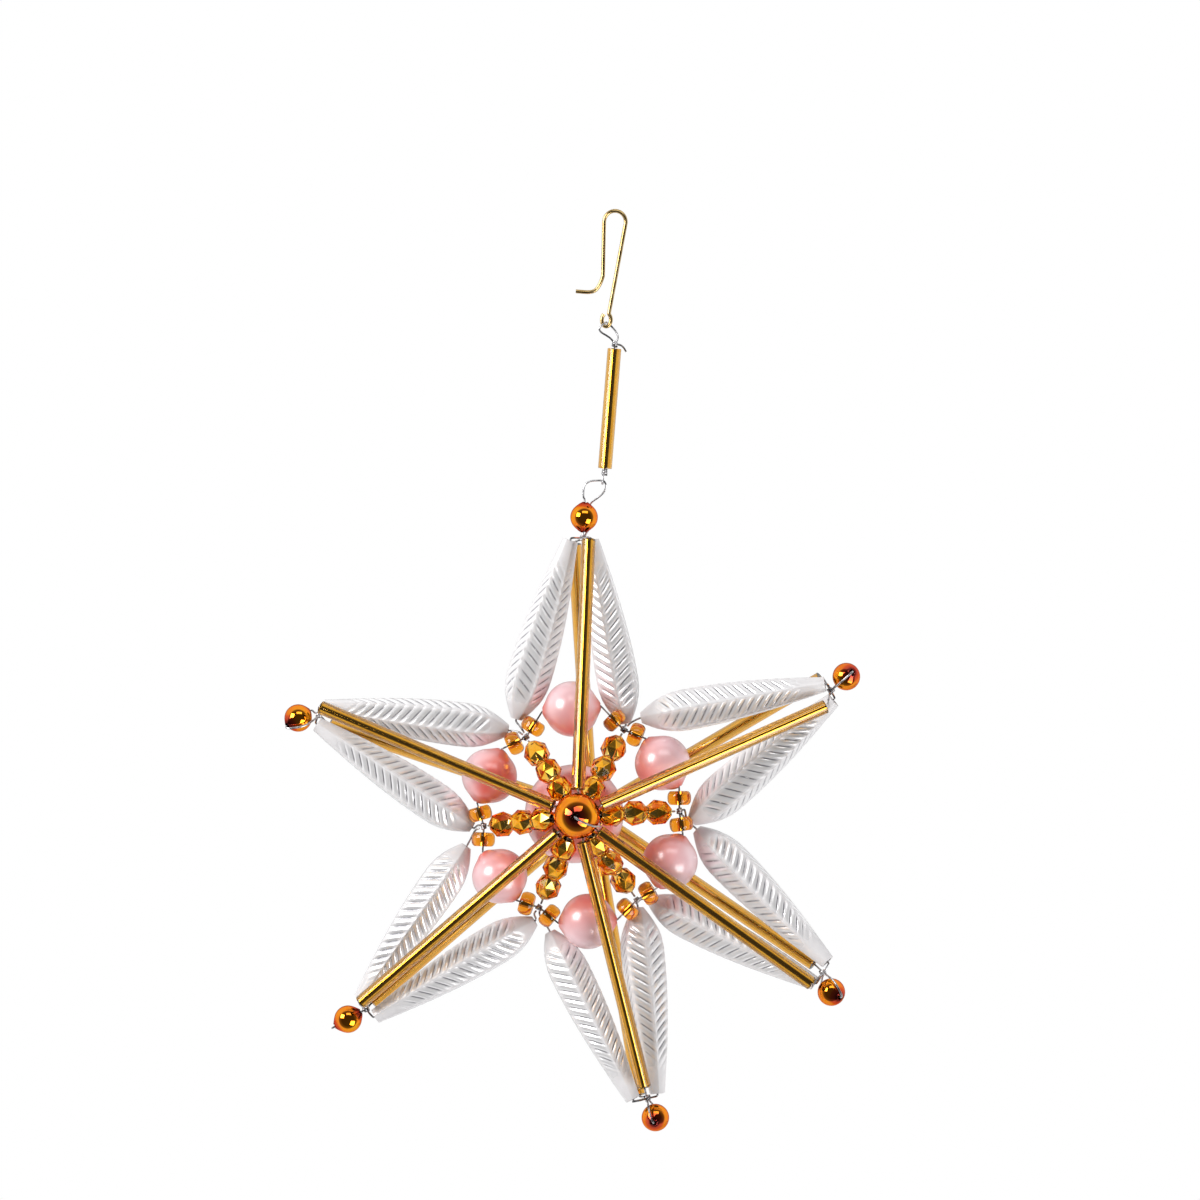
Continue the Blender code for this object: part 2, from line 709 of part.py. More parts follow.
def star_loop(start):
    """Loop above the top ball, linked through the hanger's low eye."""
    link = link_point()
    half = STAR_LOOP_WIDTH / 2
    return [
        start + Vector((-0.2 * half, 0, 0.2 * (link.z - start.z))),
        Vector((link.x - 1.75 * half, 0, link.z - 0.5 * half)),
        Vector((link.x - 1.15 * half, 0, link.z - 0.08 * half)),
        link - Vector((0.35 * half, 0, 0)),
        link + Vector((0.15 * half, 0, 0)),
        link + Vector((0.4 * half, 0.1 * half, -0.5 * half)),
        link + Vector((0.05 * half, 0.4 * half, -1.3 * half)),
    ]


def ball_centre(arm):
    return arm_tip(arm) + heading(arm.aim + arm.lean) * ball_seat()


def build_arm(arm, finishes, star, meshes):
    tag = f"_{arm.hour}"
    axis = heading(arm.aim + arm.lean)
    legs = [leg_route(leaf) for leaf in LEAVES if leaf.arm == arm.hour]
    pieces = [moved(wound_knot("turns"), along_axis(arm_tip(arm), axis))]
    pieces += [swept("leg", route, WIRE_RADIUS) for route in legs]
    pieces += [swept("run", tube_wire_route(arm, front), WIRE_RADIUS) for front in (True, False)]
    pieces.append(swept("wrap", ball_route(arm), WIRE_RADIUS))
    mesh = fused("arm_wire" + tag, pieces)
    add_object("arm_wire" + tag, mesh, finishes["wire"], star)
    place = along_axis(ball_centre(arm), ball_sides(arm)[1])
    add_object("tip_ball" + tag, meshes["tip_ball"].copy(), finishes["amber"], star, place)
    for name, front in (("front_tube", True), ("back_tube", False)):
        outer, inner = tube_ends(arm, front)
        tube = cut_tube(name + tag, (outer - inner).length)
        add_object(name + tag, tube, finishes["gold"], star, along_axis(inner, outer - inner))


def build_leaves(finish, star, mesh):
    for leaf in LEAVES:
        tip, _, direction = leaf_ends(leaf)
        name = f"leaf_bead_{leaf.arm}_{leaf.junction}"
        add_object(name, mesh.copy(), finish, star, along_axis(tip, direction))


# Ring, spokes and hub

def pearl_angle(hour):
    index = list(PEARL_SHIFTS).index(hour)
    return RING_TURN + 30.0 + 60.0 * index + PEARL_SHIFTS[hour][1]


def pearl_point(hour):
    reach = RING_RADIUS + PEARL_SHIFTS[hour][0] * MM
    return CENTRE + heading(pearl_angle(hour)) * reach + BACK * RING_DEPTH


def pearl_axis(hour):
    return beside(heading(pearl_angle(hour)))


def ring_route():
    route = []
    reach = RING_PEARL_RADIUS + COLLAR_LENGTH + 0.5 * GAP
    for hour, pearl in zip(JUNCTION_HOURS, PEARL_SHIFTS):
        step = pearl_axis(pearl) * reach
        route += [junction_point(hour), pearl_point(pearl) - step, pearl_point(pearl) + step]
    return route


def seed_mesh():
    """Short barrel about its centre, dished round the wire at both ends."""
    half = SEED_LENGTH / 2
    dish = HOLE_RADIUS * 1.5
    profile = [
        (0.06 * MM, -half + 0.5 * MM), (dish, -half), (0.75 * SEED_RADIUS, -half),
        (SEED_RADIUS, -0.4 * half), (SEED_RADIUS, 0.4 * half),
        (0.75 * SEED_RADIUS, half), (dish, half), (0.06 * MM, half - 0.5 * MM),
    ]
    return moved(filled(turned("seed", profile, 8)), OFF_SQUARE)


def build_ring(finishes, star, meshes):
    pieces = [swept("ring", ring_route(), WIRE_RADIUS, closed=True)]
    route = ring_route()
    for index, hour in enumerate(JUNCTION_HOURS):
        joint = route[3 * index]
        tangent = beside(heading(junction_angle(hour)))
        pieces.append(moved(wound_knot("turns"), along_axis(joint, tangent)))
        for beyond in (route[3 * index - 1], route[3 * index + 1]):
            direction = (beyond - joint).normalized()
            middle = joint + direction * (JUNCTION_HALF_GAP + SEED_LENGTH / 2)
            pieces.append(moved(meshes["seed"].copy(), along_axis(middle, direction)))
    add_object("ring_wire_with_seeds", fused("ring_wire_with_seeds", pieces), finishes["seed"], star)
    for hour in PEARL_SHIFTS:
        place = along_axis(pearl_point(hour), pearl_axis(hour))
        add_object(f"ring_pearl_{hour}", meshes["ring_pearl"].copy(), finishes["pink"], star, place)


def spoke_line(hour):
    """Start at the junction and direction of a spoke, rising from the ring to the hub."""
    inwards = in_depth(hub_point(0.0) - junction_point(hour), 0.0).normalized()
    rise = math.radians(SPOKE_RISE)
    start = junction_point(hour) + BACK * SPOKE_SET_BACK
    return start, inwards * math.cos(rise) - BACK * math.sin(rise)


def spoke_beads(hour):
    start, direction = spoke_line(hour)
    first = FIRST_FACET_REACH - SPOKE_SLIDE.get(hour, 0.0)
    first /= math.cos(math.radians(SPOKE_RISE))
    return [start + direction * (first + facet_pitch() * i) for i in range(FACET_COUNT)]


def build_spoke(hour, finish, star, meshes):
    start, direction = spoke_line(hour)
    beads = spoke_beads(hour)
    middle = hub_point(0.0)
    inner = beads[-1] + direction * (facet_length() / 2 + GAP)
    spread = (in_depth(inner, 0.0) - middle).normalized()
    last = middle + spread * (KNOT_RADIUS + 1.4 * GAP) - BACK * winding_depths(True)[2]
    begin = start + direction * (KNOT_RADIUS + GAP + WIRE_RADIUS)
    route = softened([begin, beads[0], inner, last], 0.5 * MM)
    pieces = [swept("wire", route, WIRE_RADIUS)]
    for number, bead in enumerate(beads):
        turn = math.radians(11 * hour + 17 * number)
        pieces.append(moved(meshes["faceted"].copy(), along_axis(bead, direction, turn)))
    name = f"spoke_{hour}"
    add_object(name, fused(name, pieces), finish, star)


def staple(centre, facing):
    """Route over a hub ball's surface, from its outer hole round its side to the winding."""
    clear = HUB_BALL_RADIUS + WIRE_RADIUS + 1.2 * GAP
    axis = BACK * facing
    route = [on_ball(centre, axis, heading(-36), 12, clear + 0.4 * MM)]
    for turn in range(26, 157, 26):
        route.append(on_ball(centre, axis, heading(-36 + 0.2 * turn), turn, clear))
    foot = HUB_BALL_RADIUS + COLLAR_LENGTH + GAP + 0.3 * MM
    route.append(centre - axis * foot + heading(-5) * 1.6 * WIRE_RADIUS)
    return route


def build_hub(finishes, star, meshes):
    pearl = CENTRE + Vector((CENTRE_PEARL_SIDE, CENTRE_PEARL_DEPTH, CENTRE_PEARL_RISE))
    pole = CENTRE_PEARL_RADIUS + COLLAR_LENGTH + 2 * GAP
    front, back = winding_depths(True), winding_depths(False)
    front_ball = hub_point(-front_ball_depth())
    back_ball = hub_point(back[3] + GAP + COLLAR_LENGTH + HUB_BALL_RADIUS)
    rim = HUB_BALL_RADIUS + COLLAR_LENGTH
    route = staple(front_ball, -1)[::-1] + [
        front_ball - BACK * (rim + GAP + 2 * WIRE_RADIUS),
        front_ball - BACK * rim,
        hub_point(-front[0]),
        pearl - BACK * pole,
        pearl + BACK * pole,
        hub_point(back[0]),
        back_ball + BACK * rim,
        back_ball + BACK * (rim + GAP + 2 * WIRE_RADIUS),
    ] + staple(back_ball, 1)
    pieces = [swept("axis", softened(route, 0.3 * MM), WIRE_RADIUS)]
    for ends, facing in ((front, -1), (back, 1)):
        middle = hub_point(facing * (ends[0] + ends[3]) / 2)
        stretch = Matrix.Diagonal((1, 1, (ends[3] - ends[0]) / KNOT_LENGTH, 1))
        pieces.append(moved(wound_knot("turns"), along_axis(middle, BACK) @ stretch))
    add_object("hub_wire", fused("hub_wire", pieces), finishes["wire"], star)
    for name, centre in (("front_hub_ball", front_ball), ("back_hub_ball", back_ball)):
        place = along_axis(centre, BACK)
        add_object(name, meshes["hub_ball"].copy(), finishes["amber"], star, place)
    add_object("centre_pearl", meshes["centre_pearl"], finishes["pink"], star,
               along_axis(pearl, BACK))


def main():
    for old in list(bpy.data.objects):
        bpy.data.objects.remove(old)
    finishes = {
        "brass": material("brass", (0.78, 0.57, 0.24), 0.25, metallic=1.0),
        "wire": material("dark_wire", (0.2, 0.19, 0.2), 0.35, metallic=1.0),
        "gold": material("gold_lined_glass", (0.72, 0.45, 0.1), 0.12, metallic=0.8),
        "amber": material("amber_mirrored_glass", (0.62, 0.2, 0.02), 0.08, metallic=0.9),
        "seed": material("amber_clear_glass", (0.85, 0.45, 0.08), 0.08, transmission=0.6),
        "cut": material("amber_cut_glass", (0.8, 0.36, 0.05), 0.05, transmission=0.5),
        "pink": material("pink_satin_glass", (0.9, 0.5, 0.52), 0.35),
        "silver": material("silver_satin_glass", (0.86, 0.85, 0.86), 0.3, metallic=0.4),
    }
    meshes = {
        "tip_ball": blown_ball("tip_ball", TIP_BALL_RADIUS, 5, 8),
        "ring_pearl": blown_ball("ring_pearl", RING_PEARL_RADIUS, 6, 10),
        "centre_pearl": blown_ball("centre_pearl", CENTRE_PEARL_RADIUS, 10, 14),
        "hub_ball": blown_ball("hub_ball", HUB_BALL_RADIUS, 6, 10),
        "seed": seed_mesh(),
        "faceted": faceted_bead("faceted"),
        "leaf": leaf_mesh(),
    }
    hanger = empty("hanger_pivot", loop_apex())
    star = empty("star_pivot", link_point(), hanger)
    build_hook(finishes["brass"])
    build_hanger(finishes["wire"], finishes["gold"], hanger)
    for arm in ARMS:
        build_arm(arm, finishes, star, meshes)
    build_leaves(finishes["silver"], star, meshes["leaf"])
    build_ring(finishes, star, meshes)
    for hour in JUNCTION_HOURS:
        build_spoke(hour, finishes["cut"], star, meshes)
    build_hub(finishes, star, meshes)


main()
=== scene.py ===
"""Hand-wired star of glass beads on its hanger and hook, dressed over the CAD model.

Lengths are in millimetres, and meshes are made in metres. +Z is up and the front of the
star faces -Y. Places in the star are given by an angle and a radius about the ring's
centre, seen from the front, and a depth that grows towards the back. Arms and junctions
go by the hour they point to.
"""

import json
import math
from collections import namedtuple

import bpy
import numpy as np
from mathutils import Matrix, Vector


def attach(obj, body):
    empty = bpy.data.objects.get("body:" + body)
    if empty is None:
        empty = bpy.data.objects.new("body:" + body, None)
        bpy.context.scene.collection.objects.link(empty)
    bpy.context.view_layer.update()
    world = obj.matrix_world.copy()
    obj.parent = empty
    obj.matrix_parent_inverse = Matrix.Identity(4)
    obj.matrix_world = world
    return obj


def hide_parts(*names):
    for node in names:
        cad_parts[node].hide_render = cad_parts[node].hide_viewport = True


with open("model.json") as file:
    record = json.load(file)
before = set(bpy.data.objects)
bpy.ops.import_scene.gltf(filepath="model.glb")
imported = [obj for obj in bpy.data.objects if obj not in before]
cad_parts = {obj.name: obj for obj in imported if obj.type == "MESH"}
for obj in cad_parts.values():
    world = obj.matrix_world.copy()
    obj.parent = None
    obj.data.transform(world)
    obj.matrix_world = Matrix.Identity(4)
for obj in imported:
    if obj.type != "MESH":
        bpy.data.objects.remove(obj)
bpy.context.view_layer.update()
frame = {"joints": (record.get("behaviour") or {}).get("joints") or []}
JOINTS = {joint["name"]: joint for joint in frame["joints"]}

MM = 0.001

# Wire, bores and clearances
WIRE_RADIUS = 0.2
WIRE_SIDES = 10
HOOK_WIRE_RADIUS = 0.4
HOOK_WIRE_SIDES = 16
GAP = 0.3
HOLE_RADIUS = 0.55
COLLAR_LENGTH = 0.15

# Wire wound on wire. The core is the radius that windings have in the CAD model.
WINDING_CORE = 0.6
WINDING_RADIUS = 0.42
WINDING_LENGTH = 1.1
WINDING_TURNS = 3.0
WINDING_STEPS = 16
TIP_WINDING_RADIUS = 0.5
TIP_WINDING_TURNS = 3.2

# Bends of the wire: a corner of more than these degrees is cut back by the reach, and all
# corners are then rounded this many times. A stretch longer than the long one stays
# straight up to the hold from its ends.
SHARP_CORNER = 22.0
BEND_REACH = 0.3
BEND_ROUNDS = 3
LONG_STRETCH = 6.0
BEND_HOLD = 0.5

# Hook, measured along its centre line
HOOK_BEND_RADIUS = 2.25
HOOK_SHORT_LEG = 11.4
HOOK_FOOT_REACH = 5.4
HOOK_FOOT_DROP = 3.4
EYE_HALF_WIDTH = 0.95
EYE_HALF_HEIGHT = 1.4

# Hanger
HANGER_TUBE_LENGTH = 24.7
HANGER_TOP_LOOP_WIDTH = 3.7
HANGER_TAIL = 2.4
STAR_LOOP_WIDTH = 4.4

# Star as a whole
HUB_SIDE = 0.4
HUB_RISE = 0.9
HUB_DEPTH = 15.2
HUB_SEAT_RADIUS = 5.4
BACK_WINDING_REACH = 2.6
HUB_WINDING_PITCH = 0.42
TIP_DEPTH = 3.5

# Ring of pearls and seed beads
RING_RADIUS = 20.2
RING_TURN = 7.65
RING_DEPTH = -1.5
SEED_RADIUS = 2.42
SEED_LENGTH = 2.8
SEED_BORE = 0.6
SEED_RIM = 0.75
SEED_RIM_DEPTH = 0.1
SEED_ROUNDING = 0.55
SEED_SIDES = 24
SEED_TURN = 0.3
JUNCTION_HALF_GAP = 1.3
JUNCTION_HOURS = (3, 1, 11, 9, 7, 5)
PEARL_HOURS = (2, 12, 10, 8, 6, 4)

# Rows of cut beads. Some rows were pushed outwards by the large pearl, which sits left of
# the middle, and by the hub, which sits above it.
CUT_RADIUS = 2.6
CUT_END_SHARE = 0.5
CUT_BELT_SHARE = 0.4
CUT_SIDES = 6
CUT_COUNT = 3
CUT_CORE = 0.74
CUT_SPACE = 0.25
FIRST_CUT_REACH = 4.8
LAST_CUT_RADIUS = 6.44
ROW_RISE = 36.2
ROW_SET_BACK = 0.5
ROW_SLIDE = {11: 0.75, 9: 0.7, 1: 0.6, 3: 0.6}

# Blown balls and pearls. Rise is the height of the neck round each hole, ragged that of the
# teeth on its rim, pool how far the hole's colour spreads, as a share of the radius, and
# the last how deep a painted coral reflection of the amber beads lies on the side towards
# the star's middle. One pearl is redder.
Ball = namedtuple("Ball", "radius rise ragged pool flush")
TIP_BALL = Ball(2.95, 0.3, 0.08, 0.42, 0.0)
HUB_BALL = Ball(4.78, 0.2, 0.03, 0.3, 0.0)
RING_PEARL = Ball(5.8, 0.6, 0.05, 0.4, 0.8)
CENTRE_PEARL = Ball(10.3, 0.5, 0.0, 0.35, 0.9)
RED_PEARLS = {10: 2.2}
BALL_WALL = 0.5
BALL_SIDES = 40
NECK_SINK = 0.12
NECK_LIMIT = 0.15

# Cut tubes
TUBE_RADIUS = 1.42
TUBE_BORE = 0.62
TUBE_EDGE = 0.12
TUBE_SIDES = 48

# Six-sided leaf beads and their ribs, which fade in and out near the ends
LEAF_LENGTH = 38.4
LEAF_TIP_RADIUS = 1.65
LEAF_BELLY_RADIUS = 4.65
LEAF_ROOT_RADIUS = 1.2
LEAF_BELLY_AT = 28.4
LEAF_TIP_SETBACK = 0.45
LEAF_WALL = 0.75
LEAF_TIP_BORE = 1.0
LEAF_SIDES = 6
RIB_PITCH = 1.95
RIB_HEIGHT = 0.36
RIB_SLANT = 0.8
RIBS_FROM_TIP = 3.5
RIBS_FADE_IN = 6.0
RIBS_FROM_ROOT = 2.6
RIBS_FADE_OUT = 2.8

# Each arm leans its own way, as the wires were bent by hand. Aim is in degrees. Past is how
# far the tip lies beyond the ring and a leaf bead, and the sides and shorts are how far each
# tube's end lies beside the arm's line and short of its tip, all in millimetres. The tip
# ball leans from the arm's line, and its bore nods towards the side on which its wire comes
# back, which is turned by the wrap from straight behind, all in degrees.
Arm = namedtuple(
    "Arm", "hour aim past front_side front_short back_side back_short lean nod wrap"
)
ARMS = (
    Arm(12, 93.0, -1.0, -1.5, 0.3, 2.1, 1.2, -3.0, 0.0, -20.0),
    Arm(2, 30.4, -1.1, -2.5, 2.2, 3.2, 0.9, 14.5, 57.0, -176.0),
    Arm(4, -29.3, 0.1, -2.9, 0.7, 0.3, 2.7, -34.0, 58.0, 149.0),
    Arm(6, -73.6, 0.3, 0.2, 2.5, -1.8, 0.9, 8.6, 74.0, -173.0),
    Arm(8, -135.5, 0.9, -1.6, 0.5, -0.3, 1.4, -12.0, 0.0, 0.0),
    Arm(10, 161.9, -0.1, -1.8, 0.3, 1.2, 2.5, 29.7, 44.0, 147.0),
)

# Each leaf bead runs from an arm's tip to a junction. Its root lies outward of the
# junction, along the ring from it, and behind the arm tips. Its wire enters between the
# two seed beads at the entry, a distance along the ring, turned backwards by some degrees
# on its way in, after a straight run out of the bead. The bead is spun on its wire by some
# degrees, and the ribs of its first face slant one way or the other. Lengths are in
# millimetres.
Leaf = namedtuple(
    "Leaf", "arm junction tip_side root_out root_along root_depth entry turn run spin slant"
)
LEAVES = (
    Leaf(12, 11, 2.6, 4.2, -0.2, 0.0, -0.25, 0, 0.5, 0, 1),
    Leaf(12, 1, -1.8, 1.2, 0.6, 3.2, 0.55, 0, 0.5, 12, -1),
    Leaf(2, 1, 1.7, 3.7, -2.1, 0.0, -0.55, 0, 0.5, -25, 1),
    Leaf(2, 3, -2.0, 2.5, -2.0, 1.5, 0.3, -10, 1.2, -18, -1),
    Leaf(4, 3, 2.4, 3.0, -4.3, 4.2, -0.75, 17, 0.5, 22, -1),
    Leaf(4, 5, -2.7, 2.0, 2.0, 5.6, 0.55, 0, 0.5, 27, -1),
    Leaf(6, 5, 2.2, 0.9, -0.9, 2.6, -0.55, 0, 0.5, -10, 1),
    Leaf(6, 7, -3.0, 2.2, 1.8, 2.2, 0.55, 0, 0.5, -23, 1),
    Leaf(8, 7, 2.4, 2.6, 0.5, 0.0, -0.55, 0, 0.5, 25, -1),
    Leaf(8, 9, -2.3, 2.7, 2.2, 0.0, 0.6, 0, 0.5, -25, -1),
    Leaf(10, 9, 1.9, 2.4, 0.3, 0.8, -0.3, 0, 0.5, 22, -1),
    Leaf(10, 11, -1.9, 2.5, 1.4, 0.5, 0.55, 0, 0.5, -12, 1),
)
# Short wire end that sticks out of one arm's winding, from the arm's tip.
TAILS = {6: ((-0.03, -0.5, 0.01), (-1.33, -0.9, -0.49), (-3.03, -0.8, -0.89))}

BACK = Vector((0.0, 1.0, 0.0))
UP = Vector((0.0, 0.0, 1.0))


# Directions and places

def heading(degrees):
    """Unit vector in the star's plane, at this angle above +X as seen from the front."""
    angle = math.radians(degrees)
    return Vector((math.cos(angle), 0.0, math.sin(angle)))


def beside(direction):
    """Unit vector in the star's plane, a quarter turn anticlockwise from a direction."""
    return Vector((-direction.z, 0.0, direction.x))


def in_depth(point, depth):
    """The same point as seen from the front, at this depth."""
    return Vector((point.x, depth, point.z))


def joint_place(name):
    """Where a joint of the CAD model sits at rest."""
    return Vector(JOINTS[name]["pos_m"]) / MM


def hub_point(depth):
    """Point on the hub's axis at this depth."""
    return CENTRE + Vector((HUB_SIDE, depth, HUB_RISE))


def junction_angle(hour):
    """Six even steps round the ring, from the junction near 3 o'clock."""
    return RING_TURN + 60.0 * JUNCTION_HOURS.index(hour)


def junction_point(hour):
    """Point on the ring where two seed beads meet."""
    return CENTRE + heading(junction_angle(hour)) * RING_RADIUS + BACK * RING_DEPTH


def arm_of(hour):
    """The row of the table of arms for this hour."""
    return next(arm for arm in ARMS if arm.hour == hour)


def arm_reach(arm):
    """Distance from the star's centre to an arm's tip."""
    return RING_RADIUS + LEAF_LENGTH + arm.past


def arm_tip(arm):
    """Middle of the winding at an arm's tip."""
    return CENTRE + heading(arm.aim) * arm_reach(arm)


def tip_place(arm, short, side, depth):
    """Point near an arm's tip: short of it along the arm, beside the arm's line, and at a
    depth."""
    along = heading(arm.aim)
    return arm_tip(arm) - along * short + beside(along) * side + BACK * depth


def star_centre():
    """Middle of the ring: down from the top ball to its arm's tip, and down the arm."""
    top = arm_of(12)
    seat = TIP_BALL.radius + COLLAR_LENGTH + WINDING_LENGTH / 2 + 2.1 * GAP
    tip = joint_place("tip_ball_12_spin") - heading(top.aim + top.lean) * seat
    return tip - heading(top.aim) * arm_reach(top)


def on_ball(centre, axis, side, turn, reach):
    """Point at a reach from a ball's centre, turned from its axis towards a side."""
    angle = math.radians(turn)
    return centre + (axis * math.cos(angle) + side * math.sin(angle)) * reach


CENTRE = star_centre()
# The painted coral reflection of the amber beads on the pearls faces this point.
STAR_MIDDLE = np.array(hub_point(-6.0))
FRONT_BALL = hub_point(-HUB_DEPTH - 1.5)
# Depths of each hub winding's inner end, of the wires from the tubes and from the rows of
# cut beads that end in it, and of its outer end, as distances from the ring's plane.
Depths = namedtuple("Depths", "inner tubes rows outer")
FRONT_END = HUB_DEPTH + 1.5 - HUB_BALL.radius - GAP - COLLAR_LENGTH
FRONT_DEPTHS = Depths(FRONT_END - 2.4, FRONT_END - 1.0, FRONT_END - 2.0, FRONT_END)
BACK_END = joint_place("centre_pearl_spin").y + CENTRE_PEARL.radius + BACK_WINDING_REACH
BACK_DEPTHS = Depths(BACK_END - 1.2, BACK_END - 0.5, BACK_END - 0.5, BACK_END)
BACK_BALL = hub_point(BACK_END + GAP + COLLAR_LENGTH + HUB_BALL.radius)


# Routes of the wires

def softened(points, reach):
    """Cuts off each sharp corner of a route, so that swept wire bends round it."""
    route = [points[0]]
    for before, corner, after in zip(points, points[1:], points[2:]):
        into, out = corner - before, after - corner
        if into.angle(out) < math.radians(SHARP_CORNER):
            route.append(corner)
            continue
        cut = min(reach, into.length * 0.4, out.length * 0.4)
        route += [corner - into.normalized() * cut, corner + out.normalized() * cut]
    return route + [points[-1]]


def eye_centre():
    """Middle of the hook's eye, above where the hanger's loop bears in it."""
    seat = EYE_HALF_HEIGHT - HOOK_WIRE_RADIUS - GAP - WIRE_RADIUS
    return joint_place("hanger_swing") + UP * seat


def hook_route():
    """Centre line from the free foot, up and over the bend, down the long leg into the eye."""
    bend = Vector((0, 0, HOOK_WIRE_RADIUS - HOOK_BEND_RADIUS))
    low = bend.z - HOOK_SHORT_LEG
    foot_x = bend.x - HOOK_BEND_RADIUS + 0.4
    route = [
        Vector((foot_x - HOOK_FOOT_REACH, 0, low - HOOK_FOOT_DROP + 0.1)),
        Vector((foot_x - 0.35 * HOOK_FOOT_REACH, 0, low - HOOK_FOOT_DROP)),
        Vector((foot_x - 0.13 * HOOK_FOOT_REACH, 0, low - 0.62 * HOOK_FOOT_DROP)),
        Vector((foot_x, 0, low)),
    ]
    for i in range(9):
        route.append(bend + heading(180 - 180 * i / 8) * HOOK_BEND_RADIUS)
    eye = eye_centre()
    for i in range(12):
        angle = math.radians(62 - 27 * i)
        route.append(eye + Vector((
            EYE_HALF_WIDTH * math.cos(angle), 0, EYE_HALF_HEIGHT * math.sin(angle),
        )))
    return route


def hanger_tube_ends():
    """Upper end and lower end of the hanger's tube."""
    low = joint_place("hanger_tube_spin")
    return low + Vector(JOINTS["hanger_tube_spin"]["axis"]) * HANGER_TUBE_LENGTH, low


def hanger_routes():
    """Loop through the hook's eye, its tail, the run through the tube, and the low eye.
    Each bend is placed by shares of the loop's own width, drop and spread."""
    apex, link = joint_place("hanger_swing"), joint_place("star_swing")
    top, bottom = hanger_tube_ends()
    down = (bottom - top).normalized()
    knot = top - down * (GAP + WINDING_LENGTH / 2 + 0.1)
    half, drop = HANGER_TOP_LOOP_WIDTH / 2, apex.z - knot.z
    spread = HOOK_WIRE_RADIUS + WIRE_RADIUS + 1.2 * GAP
    apart = Vector((0, 1.3 * WIRE_RADIUS, 0))
    loop = [
        knot - apart,
        knot + Vector((-0.5 * half, -0.45 * spread, 0.28 * drop)),
        apex + Vector((-0.85 * half, -spread, -0.42 * drop)),
        apex + Vector((-0.35 * half, -spread, -0.12 * drop)),
        apex + Vector((-0.02 * half, -0.6 * spread, 0)),
        apex + Vector((0.02 * half, 0.6 * spread, 0)),
        apex + Vector((0.45 * half, spread, -0.12 * drop)),
        apex + Vector((1.15 * half, spread, -0.42 * drop)),
        knot + Vector((0.35 * half, 0.45 * spread, 0.28 * drop)),
        knot + apart,
    ]
    tail = [
        knot,
        knot + Vector((0.65 * HANGER_TAIL, 0, -0.08 * HANGER_TAIL)),
        knot + Vector((HANGER_TAIL, 0, -0.62 * HANGER_TAIL)),
    ]
    low = bottom + down * 0.75
    seat = 2 * WIRE_RADIUS + GAP
    width = 2 * WIRE_RADIUS + 1.3 * GAP
    eye = [
        low - apart,
        link + Vector((0, -width, 0.8)),
        link + Vector((0, -width, -0.3 * seat)),
        link + Vector((0, -0.4 * width, -seat)),
        link + Vector((0, 0.4 * width, -seat)),
        link + Vector((0, width, -0.3 * seat)),
        link + Vector((0, width, 0.8)),
        low + apart,
    ]
    return [loop, tail, [knot, top, bottom, low], eye]


def leaf_ends(leaf):
    """Narrow end, wide end and direction between them."""
    tip = tip_place(arm_of(leaf.arm), LEAF_TIP_SETBACK, leaf.tip_side, 0.0)
    out = heading(junction_angle(leaf.junction))
    root = CENTRE + out * (RING_RADIUS + leaf.root_out)
    root += beside(out) * leaf.root_along + BACK * leaf.root_depth
    direction = (root - tip).normalized()
    return tip, tip + direction * LEAF_LENGTH, direction


def tube_ends(arm, front):
    """Outer end at the tip and inner end beside the hub."""
    side, short = (arm.front_side, arm.front_short) if front else (arm.back_side, arm.back_short)
    outer = tip_place(arm, short, side, -TIP_DEPTH if front else TIP_DEPTH)
    middle = hub_point(0.0)
    spread = (in_depth(outer, 0.0) - middle).normalized()
    return outer, middle + spread * HUB_SEAT_RADIUS + BACK * (-HUB_DEPTH if front else HUB_DEPTH)


def leg_route(leaf):
    """Wire from the arm's winding straight through a leaf bead, and then towards its
    junction from the side on which the bead ends, down to the winding there."""
    tip, root, direction = leaf_ends(leaf)
    spare = WIRE_RADIUS + 1.1 * GAP
    along = beside(heading(junction_angle(leaf.junction)))
    joint = junction_point(leaf.junction)
    past = root + direction * leaf.run
    lean = past - joint
    lean -= along * lean.dot(along)
    distance = lean.length
    lean = Matrix.Rotation(math.radians(leaf.turn), 3, along) @ lean.normalized()
    step = along * leaf.entry
    clear = WINDING_CORE + GAP + WIRE_RADIUS
    route = [arm_tip(arm_of(leaf.arm)), tip - direction * spare, tip, root, past]
    if distance > SEED_RADIUS:
        route.append(joint + lean * 0.85 * SEED_RADIUS + step)
    route.append(joint + lean * clear + step * 0.6)
    return softened(route, BEND_REACH)


def tube_wire_route(arm, front):
    """Wire from the arm's winding through a tube to the winding behind the hub's ball. In
    front it bends round the ball on an arc."""
    outer, inner = tube_ends(arm, front)
    along = (inner - outer).normalized()
    facing = -1 if front else 1
    middle = hub_point(0.0)
    spread = (in_depth(inner, 0.0) - middle).normalized()
    spare = 1.6 * GAP
    tip = arm_tip(arm)
    rise = tip + BACK * facing * 0.55 * TIP_DEPTH + in_depth(outer - tip, 0.0) * 0.22
    route = [tip, rise, outer - along * spare, outer, inner, inner + along * spare]
    if front:
        clear = HUB_BALL.radius + WIRE_RADIUS + 1.4 * GAP
        route += [on_ball(FRONT_BALL, -BACK, spread, turn, clear) for turn in (114, 133, 152)]
    depth = (FRONT_DEPTHS if front else BACK_DEPTHS).tubes
    route.append(middle + spread * (WINDING_CORE + 1.4 * GAP) + BACK * facing * depth)
    return softened(route, BEND_REACH)


